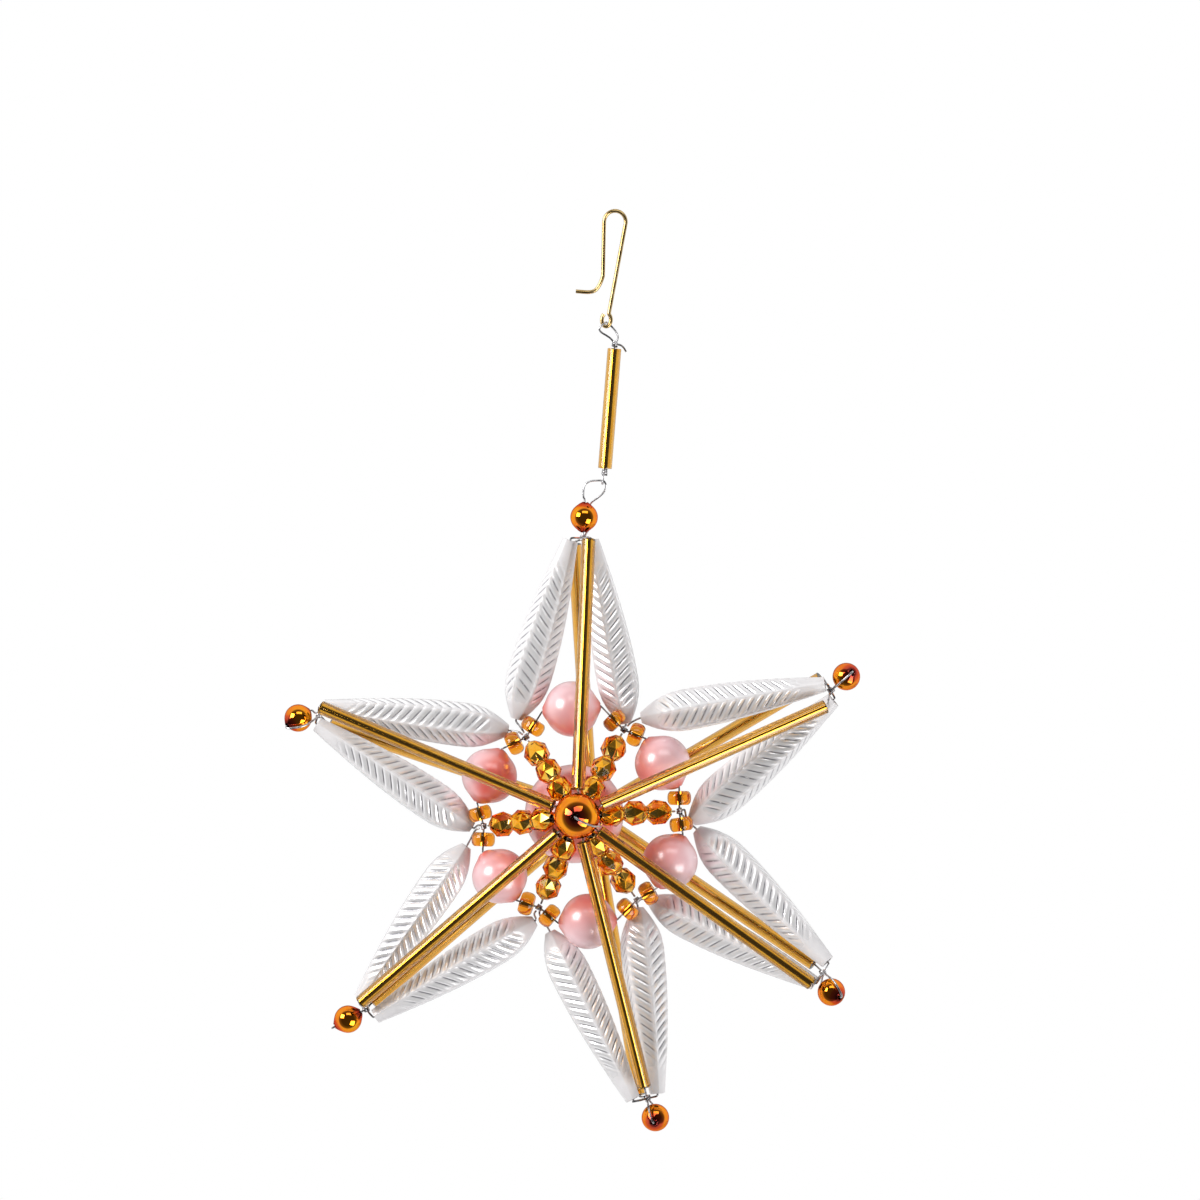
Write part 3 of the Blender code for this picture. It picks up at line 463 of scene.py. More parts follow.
def star_loop(start):
    """Loop above the top ball, linked through the hanger's low eye."""
    link = joint_place("star_swing")
    half = STAR_LOOP_WIDTH / 2
    return [
        start + Vector((-0.2 * half, 0, 0.2 * (link.z - start.z))),
        Vector((link.x - 1.75 * half, 0, link.z - 0.5 * half)),
        Vector((link.x - 1.15 * half, 0, link.z - 0.08 * half)),
        link - Vector((0.35 * half, 0, 0)),
        link + Vector((0.15 * half, 0, 0)),
        link + Vector((0.4 * half, 0.1 * half, -0.5 * half)),
        link + Vector((0.05 * half, 0.4 * half, -1.3 * half)),
    ]


def ball_route(arm):
    """Wire from the arm's winding round to the tip ball's inner hole, out of its outer hole
    and back over its surface, on arcs about the ball's middle."""
    way = heading(arm.aim + arm.lean)
    lift = Matrix.Rotation(math.radians(arm.wrap), 3, way) @ BACK
    nod = math.radians(arm.nod)
    axis = way * math.cos(nod) + lift * math.sin(nod)
    side = lift * math.cos(nod) - way * math.sin(nod)
    centre = joint_place(f"tip_ball_{arm.hour}_spin")
    clear = TIP_BALL.radius + WIRE_RADIUS + 1.4 * GAP
    far = centre + axis * (TIP_BALL.radius + COLLAR_LENGTH)
    knot_at = 180 - round(arm.nod)
    route = [arm_tip(arm) - lift * WIRE_RADIUS]
    route += [on_ball(centre, axis, side, turn, clear) for turn in range(knot_at + 18, 172, 18)]
    if arm.nod:
        route.append(centre - axis * (clear + WIRE_RADIUS))
    route += [centre, far + axis * (GAP + 2 * WIRE_RADIUS)]
    if arm.hour == 12:
        route += star_loop(far)
    else:
        route.append(on_ball(centre, axis, side, 16, clear + 0.4))
    route += [on_ball(centre, axis, side, turn, clear) for turn in range(36, knot_at - 22, 20)]
    route.append(arm_tip(arm) + lift * 1.6 * WIRE_RADIUS)
    return route


def arm_routes(arm):
    """Two legs through the leaf beads, the runs through the tubes, and the tip ball's wire."""
    legs = [leg_route(leaf) for leaf in LEAVES if leaf.arm == arm.hour]
    return legs + [tube_wire_route(arm, True), tube_wire_route(arm, False), ball_route(arm)]


def ring_route():
    """Junctions in turn, with both ends of the pearl that follows each."""
    route = []
    reach = RING_PEARL.radius + COLLAR_LENGTH + 0.5 * GAP
    for junction, pearl in zip(JUNCTION_HOURS, PEARL_HOURS):
        place = joint_place(f"ring_pearl_{pearl}_spin")
        step = beside(in_depth(place - CENTRE, 0.0).normalized()) * reach
        route += [junction_point(junction), place - step, place + step]
    return route


def cut_pitch():
    """Distance between cut beads, which share the way from the junction to the hub."""
    way = RING_RADIUS - FIRST_CUT_REACH - LAST_CUT_RADIUS
    return way / (CUT_COUNT - 1) / math.cos(math.radians(ROW_RISE))


def cut_length():
    """Length of a cut bead: the pitch less the space between two."""
    return cut_pitch() - CUT_SPACE


def row_line(hour):
    """Start at the junction and direction of a row, rising from the ring to the hub."""
    inwards = in_depth(hub_point(0.0) - junction_point(hour), 0.0).normalized()
    rise = math.radians(ROW_RISE)
    start = junction_point(hour) + BACK * ROW_SET_BACK
    return start, inwards * math.cos(rise) - BACK * math.sin(rise)


def row_beads(hour):
    """Middles of a row's cut beads, evenly along its line."""
    start, direction = row_line(hour)
    first = FIRST_CUT_REACH - ROW_SLIDE.get(hour, 0.0)
    first /= math.cos(math.radians(ROW_RISE))
    return [start + direction * (first + cut_pitch() * i) for i in range(CUT_COUNT)]


def row_route(hour):
    """Wire from the junction's winding straight through the beads, then to the hub's."""
    start, direction = row_line(hour)
    beads = row_beads(hour)
    middle = hub_point(0.0)
    inner = beads[-1] + direction * (cut_length() / 2 + GAP)
    spread = (in_depth(inner, 0.0) - middle).normalized()
    last = middle + spread * (WINDING_CORE + 1.4 * GAP) - BACK * FRONT_DEPTHS.rows
    begin = start + direction * (WINDING_CORE + GAP + WIRE_RADIUS)
    return softened([begin, beads[0], inner, last], 0.5)


def staple(centre, facing):
    """Route over a hub ball's surface, from its outer hole round its side to the winding.
    It stays a fixed way off the ball while it turns slowly about the ball's axis."""
    clear = HUB_BALL.radius + WIRE_RADIUS + 1.2 * GAP
    axis = BACK * facing
    route = [on_ball(centre, axis, heading(-36), 12, clear + 0.4)]
    for turn in range(26, 157, 26):
        route.append(on_ball(centre, axis, heading(-36 + 0.2 * turn), turn, clear))
    foot = HUB_BALL.radius + COLLAR_LENGTH + GAP + 0.3
    route.append(centre - axis * foot + heading(-5) * 1.6 * WIRE_RADIUS)
    return route


def hub_route():
    """Staple of the front ball, then straight back through the front ball, the large
    pearl and the back ball, and its staple."""
    pearl = joint_place("centre_pearl_spin")
    pole = CENTRE_PEARL.radius + COLLAR_LENGTH + 2 * GAP
    rim = HUB_BALL.radius + COLLAR_LENGTH
    out = rim + GAP + 2 * WIRE_RADIUS
    route = staple(FRONT_BALL, -1)[::-1]
    route += [FRONT_BALL - BACK * out, FRONT_BALL - BACK * rim, hub_point(-FRONT_DEPTHS.inner)]
    route += [pearl - BACK * pole, pearl + BACK * pole, hub_point(BACK_DEPTHS.inner)]
    route += [BACK_BALL + BACK * rim, BACK_BALL + BACK * out]
    return softened(route + staple(BACK_BALL, 1), BEND_REACH)


# Materials

def finish_of(name, values):
    """Principled material with these socket values."""
    made = bpy.data.materials.new(name)
    made.use_nodes = True
    shader = made.node_tree.nodes["Principled BSDF"]
    for socket, value in values.items():
        shader.inputs[socket].default_value = value
    return made


def feed(made, socket, output):
    """Joins an output to a socket of the material's shader."""
    made.node_tree.links.new(output, made.node_tree.nodes["Principled BSDF"].inputs[socket])


def noise_at(made, place, scale, detail=3.0):
    """Noise with this many cells to a unit of the place."""
    noise = made.node_tree.nodes.new("ShaderNodeTexNoise")
    noise.inputs["Scale"].default_value = scale
    noise.inputs["Detail"].default_value = detail
    made.node_tree.links.new(place, noise.inputs["Vector"])
    return noise.outputs["Fac"]


def mottle(made, scale, detail=3.0):
    """Noise over the object's own coordinates, in metres."""
    place = made.node_tree.nodes.new("ShaderNodeTexCoord")
    return noise_at(made, place.outputs["Object"], scale, detail)


def attribute(made, name, output="Fac"):
    """The mesh's own value at each point, as a number or as a vector."""
    node = made.node_tree.nodes.new("ShaderNodeAttribute")
    node.attribute_name = name
    return node.outputs[output]


def parts_of(made, vector):
    """The three numbers of a vector."""
    node = made.node_tree.nodes.new("ShaderNodeSeparateXYZ")
    made.node_tree.links.new(vector, node.inputs["Vector"])
    return node.outputs


def ramp(made, factor, stops):
    """Colours at their places between 0 and 1."""
    node = made.node_tree.nodes.new("ShaderNodeValToRGB")
    elements = node.color_ramp.elements
    while len(elements) < len(stops):
        elements.new(0.5)
    for element, (place, colour) in zip(elements, stops):
        element.position = place
        element.color = (*colour, 1.0)
    made.node_tree.links.new(factor, node.inputs["Fac"])
    return node.outputs["Color"]


def mapped(made, factor, low, high, start=0.3, end=0.7):
    """Maps start to end onto low to high."""
    node = made.node_tree.nodes.new("ShaderNodeMapRange")
    for socket, value in zip(("From Min", "From Max", "To Min", "To Max"), (start, end, low, high)):
        node.inputs[socket].default_value = value
    made.node_tree.links.new(factor, node.inputs["Value"])
    return node.outputs["Result"]


def blended(made, factor, low, high):
    """Mixes two colours by a factor: the first at 0, the second at 1."""
    node = made.node_tree.nodes.new("ShaderNodeMix")
    node.data_type = "RGBA"
    made.node_tree.links.new(factor, node.inputs["Factor"])
    made.node_tree.links.new(low, node.inputs["A"])
    made.node_tree.links.new(high, node.inputs["B"])
    return node.outputs["Result"]


def shade_darkened_wire():
    """Thin wire painted dark grey, as shade for the dark surroundings it reflects, with
    brighter drawn places.
    """
    made = finish_of("shade_darkened_wire", {"Metallic": 1.0})
    cloud = mottle(made, 900.0)
    # The dark grey end of this colour is painted shade.
    feed(made, "Base Color",
         ramp(made, cloud, ((0.3, (0.15, 0.15, 0.16)), (0.6, (0.62, 0.61, 0.62)))))
    feed(made, "Roughness", mapped(made, cloud, 0.22, 0.38))
    return made


def shade_darkened_brass_wire():
    """Drawn brass, painted darker as shade for the dark surroundings it reflects, with faint
    dull patches.
    """
    made = finish_of("shade_darkened_brass_wire", {"Metallic": 1.0})
    cloud = mottle(made, 420.0)
    # Both colours are darkened brass: painted shade.
    feed(made, "Base Color",
         ramp(made, cloud, ((0.3, (0.44, 0.28, 0.09)), (0.7, (0.72, 0.53, 0.25)))))
    feed(made, "Roughness", mapped(made, cloud, 0.16, 0.30))
    return made


def amber_glass(name, colour, density, ior):
    """Coloured glass that deepens with the way the light goes through it, faintly streaky
    on its surface."""
    made = finish_of(name, {"Transmission Weight": 1.0, "IOR": ior})
    cloud = mottle(made, 260.0)
    feed(made, "Base Color",
         ramp(made, cloud, ((0.3, (0.95, 0.86, 0.70)), (0.7, (1.0, 0.97, 0.92)))))
    feed(made, "Roughness", mapped(made, cloud, 0.0, 0.02))
    nodes = made.node_tree.nodes
    inside = nodes.new("ShaderNodeVolumeAbsorption")
    inside.inputs["Color"].default_value = (*colour, 1.0)
    inside.inputs["Density"].default_value = density
    made.node_tree.links.new(inside.outputs["Volume"], nodes["Material Output"].inputs["Volume"])
    return made


def amber_tube_glass():
    """Clear amber glass with fine streaks along the tube, drawn with it."""
    made = finish_of("amber_tube_glass", {
        "Transmission Weight": 1.0, "IOR": 1.5, "Coat Weight": 0.5, "Coat Roughness": 0.02,
    })
    mapping = made.node_tree.nodes.new("ShaderNodeMapping")
    mapping.inputs["Scale"].default_value = (1.0, 1.0, 0.02)
    made.node_tree.links.new(attribute(made, "own_place", "Vector"), mapping.inputs["Vector"])
    streak = noise_at(made, mapping.outputs["Vector"], 4.0)
    feed(made, "Base Color", ramp(made, streak, (
        (0.30, (0.64, 0.29, 0.02)), (0.5, (0.76, 0.39, 0.04)), (0.7, (0.82, 0.45, 0.06)),
    )))
    feed(made, "Roughness", mapped(made, streak, 0.01, 0.0))
    return made


def silvered_bore():
    """Mirror inside a bore, with darker spots where it has thinned."""
    made = finish_of("silvered_bore", {"Metallic": 1.0})
    cloud = mottle(made, 220.0, 2.0)
    feed(made, "Base Color",
         ramp(made, cloud, ((0.25, (0.86, 0.79, 0.66)), (0.5, (0.98, 0.96, 0.92)))))
    feed(made, "Roughness", mapped(made, cloud, 0.06, 0.03))
    return made


def mirrored_amber():
    """Deep amber ball silvered inside, redder round its holes and dark maroon at them."""
    made = finish_of("mirrored_amber_glass", {
        "Metallic": 1.0, "Specular Tint": (0.95, 0.40, 0.10, 1.0), "Coat Weight": 0.12,
        "Coat Roughness": 0.015,
    })
    cloud = mottle(made, 300.0)
    body = ramp(made, cloud, (
        (0.3, (0.82, 0.18, 0.004)), (0.55, (0.92, 0.30, 0.006)), (0.75, (0.95, 0.38, 0.010)),
    ))
    near = attribute(made, "collar_and_bounce")
    collar_and_bounce = ramp(made, near, (
        (0.0, (0.92, 0.28, 0.01)), (0.35, (0.70, 0.09, 0.012)), (0.75, (0.50, 0.05, 0.02)),
        (0.95, (0.16, 0.012, 0.010)),
    ))
    feed(made, "Base Color",
         blended(made, mapped(made, near, 0.0, 1.0, 0.02, 0.4), body, collar_and_bounce))
    feed(made, "Roughness", mapped(made, cloud, 0.02, 0.05))
    return made


def pink_satin():
    """Pearly pink lacquer on blown glass, coral round the holes where it ran together, and
    with a painted coral reflection of the amber beads on the side towards the star's middle."""
    made = finish_of("pink_satin_lacquer", {
        "Specular IOR Level": 0.8, "Coat Weight": 1.0, "Coat Roughness": 0.27, "Coat IOR": 1.85,
        "Sheen Weight": 0.25, "Sheen Roughness": 0.3, "Sheen Tint": (1.0, 0.22, 0.18, 1.0),
    })
    cloud = mottle(made, 180.0)
    body = ramp(made, cloud, ((0.3, (1.0, 0.60, 0.64)), (0.7, (1.0, 0.71, 0.75))))
    collar_and_bounce = ramp(made, cloud, ((0.3, (1.0, 0.15, 0.11)), (0.7, (1.0, 0.24, 0.19))))
    # The attribute read here also carries the painted coral reflection of the amber beads.
    feed(made, "Base Color", blended(made, attribute(made, "collar_and_bounce"), body, collar_and_bounce))
    feed(made, "Roughness", mapped(made, cloud, 0.30, 0.38))
    return made


def silver_satin():
    """Silver-white lacquer in pressed glass: bright on the faces, milky along the corners
    and the smooth ends, with painted shade darkening the grooves between the ribs."""
    made = finish_of("silver_satin_lacquer", {"Coat Weight": 0.4, "Coat Roughness": 0.12})
    cloud = mottle(made, 300.0)
    ridge, milky, _ = parts_of(made, attribute(made, "ridge", "Vector"))
    bright = ramp(made, cloud, ((0.3, (0.93, 0.92, 0.93)), (0.7, (1.0, 0.99, 1.0))))
    # Painted shade: near black at the bottom of the grooves between the ribs.
    groove_shade = ramp(made, ridge, (
        (0.0, (0.09, 0.09, 0.10)), (0.25, (0.34, 0.33, 0.36)), (0.55, (0.80, 0.79, 0.81)),
    ))
    milk = ramp(made, cloud, ((0.3, (0.79, 0.77, 0.78)), (0.7, (0.87, 0.85, 0.86))))
    face = blended(made, mapped(made, ridge, 0.0, 1.0, 0.2, 0.6), groove_shade, bright)
    feed(made, "Base Color", blended(made, milky, face, milk))
    feed(made, "Metallic", mapped(made, milky, 0.36, 0.0, 0.0, 1.0))
    feed(made, "Roughness", mapped(made, milky, 0.16, 0.32, 0.0, 1.0))
    return made


# Shapes: each is its points, a list of face arrays with their finish numbers, and, where
# its material reads one, the values of its attribute.

def unit(vector):
    """The same direction at length 1."""
    return vector / np.linalg.norm(vector)


def grid_faces(rows, columns, close_rows=False):
    """Four-sided faces between neighbouring points of a grid whose columns meet."""
    row = np.arange(rows if close_rows else rows - 1)[:, None]
    column = np.arange(columns)[None, :]
    beyond, after = (row + 1) % rows, (column + 1) % columns
    corners = [row * columns + column, row * columns + after,
               beyond * columns + after, beyond * columns + column]
    return np.stack(corners, -1).reshape(-1, 4)


def circles(reach, angle, height):
    """Points at this reach and angle about +Z, at this height."""
    return np.stack([reach * np.cos(angle), reach * np.sin(angle), height + 0 * angle], -1)


def stood(points, origin, axis, turn=0.0):
    """Turns a shape about +Z, turns +Z the shortest way onto an axis, and moves the shape to
    the origin given."""
    swing = Vector((0, 0, 1)).rotation_difference(Vector(axis)).to_matrix()
    swing = swing @ Matrix.Rotation(turn, 3, "Z")
    return points @ np.array(swing).T + np.array(origin, float)


def turned(profile, sides, bore_rows=()):
    """Closed outline of (radius, height) turned about +Z. Faces from the rows named in
    bore_rows carry finish 1, the rest finish 0."""
    outline = np.array(profile, float)
    angle = np.linspace(0.0, 2.0 * np.pi, sides, endpoint=False)
    points = circles(outline[:, :1], angle, outline[:, 1:])
    faces = grid_faces(len(outline), sides, close_rows=True)
    bore = np.isin(np.arange(len(outline)), bore_rows).repeat(sides)
    return points.reshape(-1, 3), [(faces[~bore], 0), (faces[bore], 1)]


def held(route):
    """Route with a point added a short way from both ends of each long stretch, so that
    rounding a corner doesn't bend the straight wire beyond it."""
    points = [np.array(route[0], float)]
    for start, end in zip(route, route[1:]):
        start, end = np.array(start, float), np.array(end, float)
        length = np.linalg.norm(end - start)
        if length > LONG_STRETCH:
            step = (end - start) / length * BEND_HOLD
            points += [start + step, end - step]
        points.append(end)
    return np.array(points)


def rounded(route):
    """Replaces each corner by points a quarter along its two sides, several times over."""
    points = held(route)
    for _ in range(BEND_ROUNDS):
        before, after = points[:-1], points[1:]
        cut = np.stack([0.75 * before + 0.25 * after, 0.25 * before + 0.75 * after], 1)
        points = np.vstack([points[:1], cut.reshape(-1, 3), points[-1:]])
    return points


def wire_along(points, radius=WIRE_RADIUS, sides=WIRE_SIDES, finish=0):
    """Circles square to a route, each turned onto the next without twist, capped."""
    tangent = np.gradient(points, axis=0)
    tangent /= np.linalg.norm(tangent, axis=1)[:, None]
    side = np.cross(tangent[0], np.eye(3)[np.argmin(np.abs(tangent[0]))])
    sides_on = []
    for along in tangent:
        side = unit(side - along * side.dot(along))
        sides_on.append(side)
    side = np.array(sides_on)
    up = np.cross(tangent, side)
    angle = np.linspace(0.0, 2.0 * np.pi, sides, endpoint=False)
    ring = side[:, None] * np.cos(angle)[:, None] + up[:, None] * np.sin(angle)[:, None]
    grid = points[:, None] + radius * ring
    caps = np.array([np.arange(sides)[::-1], np.arange(sides) + (len(points) - 1) * sides])
    return grid.reshape(-1, 3), [(grid_faces(len(points), sides), finish), (caps, finish)]


def winding(centre, axis, length=WINDING_LENGTH, turns=WINDING_TURNS, radius=WINDING_RADIUS,
            finish=0):
    """Helix of wire wound by hand, each turn a little wider or narrower than the last: its
    radius sways by a tenth, a little more than twice in a turn."""
    step = np.linspace(0.0, 1.0, int(turns * WINDING_STEPS) + 1)
    angle = 2.0 * np.pi * turns * step
    reach = radius * (1.0 + 0.10 * np.sin(2.3 * angle))
    helix = circles(reach, angle, (step - 0.5) * length)
    return wire_along(stood(helix, centre, axis), finish=finish)


def tube_shape(inner, outer):
    """Cut glass tube with melted end edges, its bore's wall silvered (finish 1). A second
    row of points near each end keeps the shading of the long sides square to them. Its
    values are each point's place in the tube's own frame."""
    inner, outer = np.array(inner), np.array(outer)
    length = np.linalg.norm(outer - inner)
    edge = TUBE_EDGE
    profile = [
        (TUBE_BORE, edge / 2), (TUBE_BORE + edge / 2, 0), (TUBE_RADIUS - edge, 0),
        (TUBE_RADIUS - edge / 3, edge / 3), (TUBE_RADIUS, edge), (TUBE_RADIUS, 2 * edge),
        (TUBE_RADIUS, length - 2 * edge), (TUBE_RADIUS, length - edge),
        (TUBE_RADIUS - edge / 3, length - edge / 3), (TUBE_RADIUS - edge, length),
        (TUBE_BORE + edge / 2, length), (TUBE_BORE, length - edge / 2),
    ]
    points, faces = turned(profile, TUBE_SIDES, bore_rows=(len(profile) - 1,))
    return stood(points, inner, unit(outer - inner)), faces, points


def ball_outline(radius, rise):
    """Blown ball with a hole at each pole, as a closed outline: a circle that swells into
    a low neck by a bell curve of the distance from the axis, and a thinner circle inside."""
    body = radius - NECK_SINK
    from_pole = np.linspace(math.asin(HOLE_RADIUS / body), math.pi / 2, 26)
    reach = body * np.sin(from_pole)
    neck = rise * np.exp(-((reach - HOLE_RADIUS) / (0.16 * radius + 0.25)) ** 2)
    height = body * np.cos(from_pole) + neck
    scale = np.minimum(1.0, (radius + NECK_LIMIT) / height.max())
    height = height * (1.0 - (1.0 - scale) * (1 - reach / body))
    below, above = np.stack([reach, -height], 1), np.stack([reach, height], 1)[::-1]
    inner = radius - BALL_WALL
    hole_at = math.asin(HOLE_RADIUS / inner)
    angle = np.linspace(hole_at, math.pi - hole_at, 9)
    inside = np.stack([inner * np.sin(angle), inner * np.cos(angle)], 1)
    return np.vstack([below, above[1:], inside])


def ball_shape(kind, centre, axis):
    """Blown ball whose rims are ragged by three sines of the angle round them. Its values
    fall from 1 at the holes by a bell curve of the width given by pool, and rise, but not
    past 1, on the side towards the star's middle, as a painted reflection of the amber beads."""
    points, faces = turned(ball_outline(kind.radius, kind.rise), BALL_SIDES)
    turn = np.arctan2(points[:, 1], points[:, 0])
    from_hole = np.hypot(points[:, 0], points[:, 1]) - HOLE_RADIUS
    pole = np.exp(-(from_hole / (kind.pool * kind.radius)) ** 2)
    rim = np.exp(-(from_hole / (0.07 * kind.radius)) ** 2)
    jag = np.sin(3 * turn + 1.3) + 0.6 * np.sin(7 * turn) + 0.4 * np.sin(11 * turn + 2.0)
    points[:, 2] += kind.ragged * rim * jag * np.sign(points[:, 2])
    centre = np.array(centre)
    points = stood(points, centre, axis)
    inwards = (points - centre) @ unit(STAR_MIDDLE - centre) / kind.radius
    # Painted coral reflection of the amber beads on the side towards the star's middle.
    coral = kind.flush * np.clip(0.45 + 0.65 * inwards, 0, 1) ** 1.5
    return points, faces, np.clip(np.maximum(pole, coral), 0, 1)


def leaf_radius(height):
    """Corner radius: a quarter sine up to the belly, then a rounded crown to the root."""
    swell = np.sin(np.pi / 2 * np.clip(height / LEAF_BELLY_AT, 0, 1))
    narrow = LEAF_TIP_RADIUS + (LEAF_BELLY_RADIUS - LEAF_TIP_RADIUS) * swell
    past = np.clip((height - LEAF_BELLY_AT) / (LEAF_LENGTH - LEAF_BELLY_AT), 0, 1)
    crown = np.cos(np.pi / 2 * past ** 1.3)
    wide = LEAF_ROOT_RADIUS + (LEAF_BELLY_RADIUS - LEAF_ROOT_RADIUS) * crown
    return np.where(height < LEAF_BELLY_AT, narrow, wide)


def ribs_fade(height):
    """0 at both ends and 1 between them, on two smooth steps."""
    begin = np.clip((height - RIBS_FROM_TIP) / RIBS_FADE_IN, 0, 1)
    end = np.clip((LEAF_LENGTH - RIBS_FROM_ROOT - height) / RIBS_FADE_OUT, 0, 1)
    fade = begin * end
    return fade * fade * (3 - 2 * fade)


def leaf_shape(tip, root, spin, slant):
    """Six-sided hollow drop. Rounded ribs slant across each face: their height is the
    absolute sine of the distance along the bead plus the slant times the place across
    the face. They fade out at both ends and towards the corners, and are mirrored from
    one face to the next. The values are 1 on a rib's crest and 1 where it is milky, which
    grows steadily from halfway across each face to its corners."""
    tip, root = np.array(tip), np.array(root)
    columns = 16 * LEAF_SIDES
    sector = 2 * np.pi / LEAF_SIDES
    low = np.linspace(0.0, LEAF_BELLY_AT, 176, endpoint=False)
    high = LEAF_LENGTH - (LEAF_LENGTH - LEAF_BELLY_AT) * np.linspace(1.0, 0.0, 66) ** 1.35
    height = np.concatenate([low, high])[:, None]
    angle = np.linspace(0.0, 2 * np.pi, columns, endpoint=False)[None, :]
    face = np.floor(angle / sector + 1e-9)
    within = angle - (face + 0.5) * sector
    across = np.tan(within) / math.tan(sector / 2)
    flat = math.cos(sector / 2) / np.cos(within)
    phase = height / RIB_PITCH + slant * RIB_SLANT * across * np.where(face % 2 < 1, 1, -1)
    ridge = np.abs(np.sin(np.pi * phase)) ** 0.8
    fade = ribs_fade(height)
    shoulder = 1 - 0.9 * np.abs(across) ** 5
    square = 0.45 + 0.45 * fade
    reach = leaf_radius(height) * (square * flat + (1 - square) * 0.95)
    reach = reach + RIB_HEIGHT * (ridge - 0.75) * fade * shoulder
    bore = np.array([LEAF_LENGTH, LEAF_LENGTH - 1.0, 31.0, 24.0, 12.0, 1.0, 0.0])[:, None]
    bore_reach = np.maximum(leaf_radius(bore) - LEAF_WALL, HOLE_RADIUS)
    bore_reach[:2] = HOLE_RADIUS
    bore_reach[-2:] = LEAF_TIP_BORE
    outside, inside = circles(reach, angle, height), circles(bore_reach, angle, bore)
    points = np.vstack([outside.reshape(-1, 3), inside.reshape(-1, 3)])
    crest = 1 - fade * shoulder * (1 - ridge)
    milky = 1 - fade * (1 - np.clip((np.abs(across) - 0.5) / 0.4, 0, 1))
    values = np.zeros((len(points), 3))
    values[:, :2] = 1.0
    values[:crest.size, 0] = crest.ravel()
    values[:crest.size, 1] = milky.ravel()
    faces = [(grid_faces(len(height) + len(bore), columns, close_rows=True), 0)]
    return stood(points, tip, unit(root - tip), math.radians(spin)), faces, values


def seed_shape(centre, axis, turn):
    """Cut seed bead: a barrel that narrows by a power of the height, with ground ends and a
    silvered bore (finish 1)."""
    half = SEED_LENGTH / 2
    height = np.linspace(-1.0, 1.0, 13)
    reach = SEED_RADIUS - SEED_ROUNDING * np.abs(height) ** 3.2
    profile = [(SEED_BORE, -half + SEED_RIM_DEPTH), (SEED_RIM, -half)]
    profile += list(zip(reach, height * half))
    profile += [(SEED_RIM, half), (SEED_BORE, half - SEED_RIM_DEPTH)]
    points, faces = turned(profile, SEED_SIDES, bore_rows=(len(profile) - 1,))
    return stood(points, centre, axis, turn), faces


def cut_shape(centre, axis, turn):
    """Cut bead: three rows of triangular facets between rings of points, each ring turned
    half a step from the last, with flat ends. Its silvered core (finish 1) has the same
    facets, smaller."""
    radii = CUT_RADIUS * np.array([CUT_END_SHARE, 1.0, 1.0, CUT_END_SHARE])
    heights = cut_length() / 2 * np.array([-1.0, -CUT_BELT_SHARE, CUT_BELT_SHARE, 1.0])
    shift = np.array([0.0, 0.5, 0.0, 0.5])
    angle = 2 * np.pi * (np.arange(CUT_SIDES)[None, :] + shift[:, None]) / CUT_SIDES
    skin = circles(radii[:, None], angle, heights[:, None]).reshape(-1, 3)
    core = skin * np.array([CUT_CORE, CUT_CORE, 1.0])
    column = np.arange(CUT_SIDES)
    after = (column + 1) % CUT_SIDES
    triangles = []
    for row in range(len(radii) - 1):
        low, high = row * CUT_SIDES, (row + 1) * CUT_SIDES
        near, far = (column, after) if shift[row] < shift[row + 1] else (after, column)
        triangles.append(np.stack([low + column, low + after, high + near], 1))
        triangles.append(np.stack([high + column, low + far, high + after], 1))
    triangles = np.vstack(triangles)
    count = len(skin)
    top = count - CUT_SIDES
    ends = np.vstack([
        np.stack([column, column + count, after + count, after], 1),
        np.stack([top + column, top + after, top + after + count, top + column + count], 1),
    ])
    faces = [(triangles, 0), (ends, 0), (triangles[:, ::-1] + count, 1)]
    return stood(np.vstack([skin, core]), centre, axis, turn), faces


# Pieces

def piece(name, shapes, finishes, body, node, crease=35.0, attribute_name=None):
    """One mesh object from shapes, riding on a body in place of a CAD node."""
    points, loops, sizes, finish_numbers = [], [], [], []
    count = 0
    for shape_points, face_sets, *_ in shapes:
        points.append(shape_points)
        for faces, finish in face_sets:
            loops.append((faces + count).ravel())
            sizes.append(np.full(len(faces), faces.shape[1]))
            finish_numbers.append(np.full(len(faces), finish))
        count += len(shape_points)
    sizes, loops = np.concatenate(sizes), np.concatenate(loops)
    mesh = bpy.data.meshes.new(name)
    mesh.vertices.add(count)
    mesh.vertices.foreach_set("co", (np.vstack(points) * MM).ravel())
    mesh.loops.add(len(loops))
    mesh.loops.foreach_set("vertex_index", loops)
    mesh.polygons.add(len(sizes))
    mesh.polygons.foreach_set("loop_start", np.concatenate(([0], np.cumsum(sizes)[:-1])))
    mesh.polygons.foreach_set("material_index", np.concatenate(finish_numbers))
    mesh.update(calc_edges=True)
    mesh.validate()
    mesh.shade_smooth()
    mesh.set_sharp_from_angle(angle=math.radians(crease))
    if attribute_name:
        values = np.concatenate([shape[2] for shape in shapes]).astype(np.float32)
        kind, key = ("FLOAT", "value") if values.ndim == 1 else ("FLOAT_VECTOR", "vector")
        layer = mesh.attributes.new(attribute_name, kind, "POINT")
        layer.data.foreach_set(key, values.ravel())
    for finish in finishes:
        mesh.materials.append(finish)
    made = bpy.data.objects.new(name, mesh)
    bpy.context.scene.collection.objects.link(made)
    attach(made, body)
    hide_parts(node)


def dress_hanger(steel):
    """Hanger wire, wound on itself above and below its tube."""
    top, bottom = hanger_tube_ends()
    up = (top - bottom).normalized()
    shapes = [wire_along(rounded(route)) for route in hanger_routes()]
    shapes += [winding(top + up * 0.95, up), winding(bottom - up * 0.75, up)]
    piece("hanger_round_wire", shapes, [steel], "hanger", "hanger_wire")


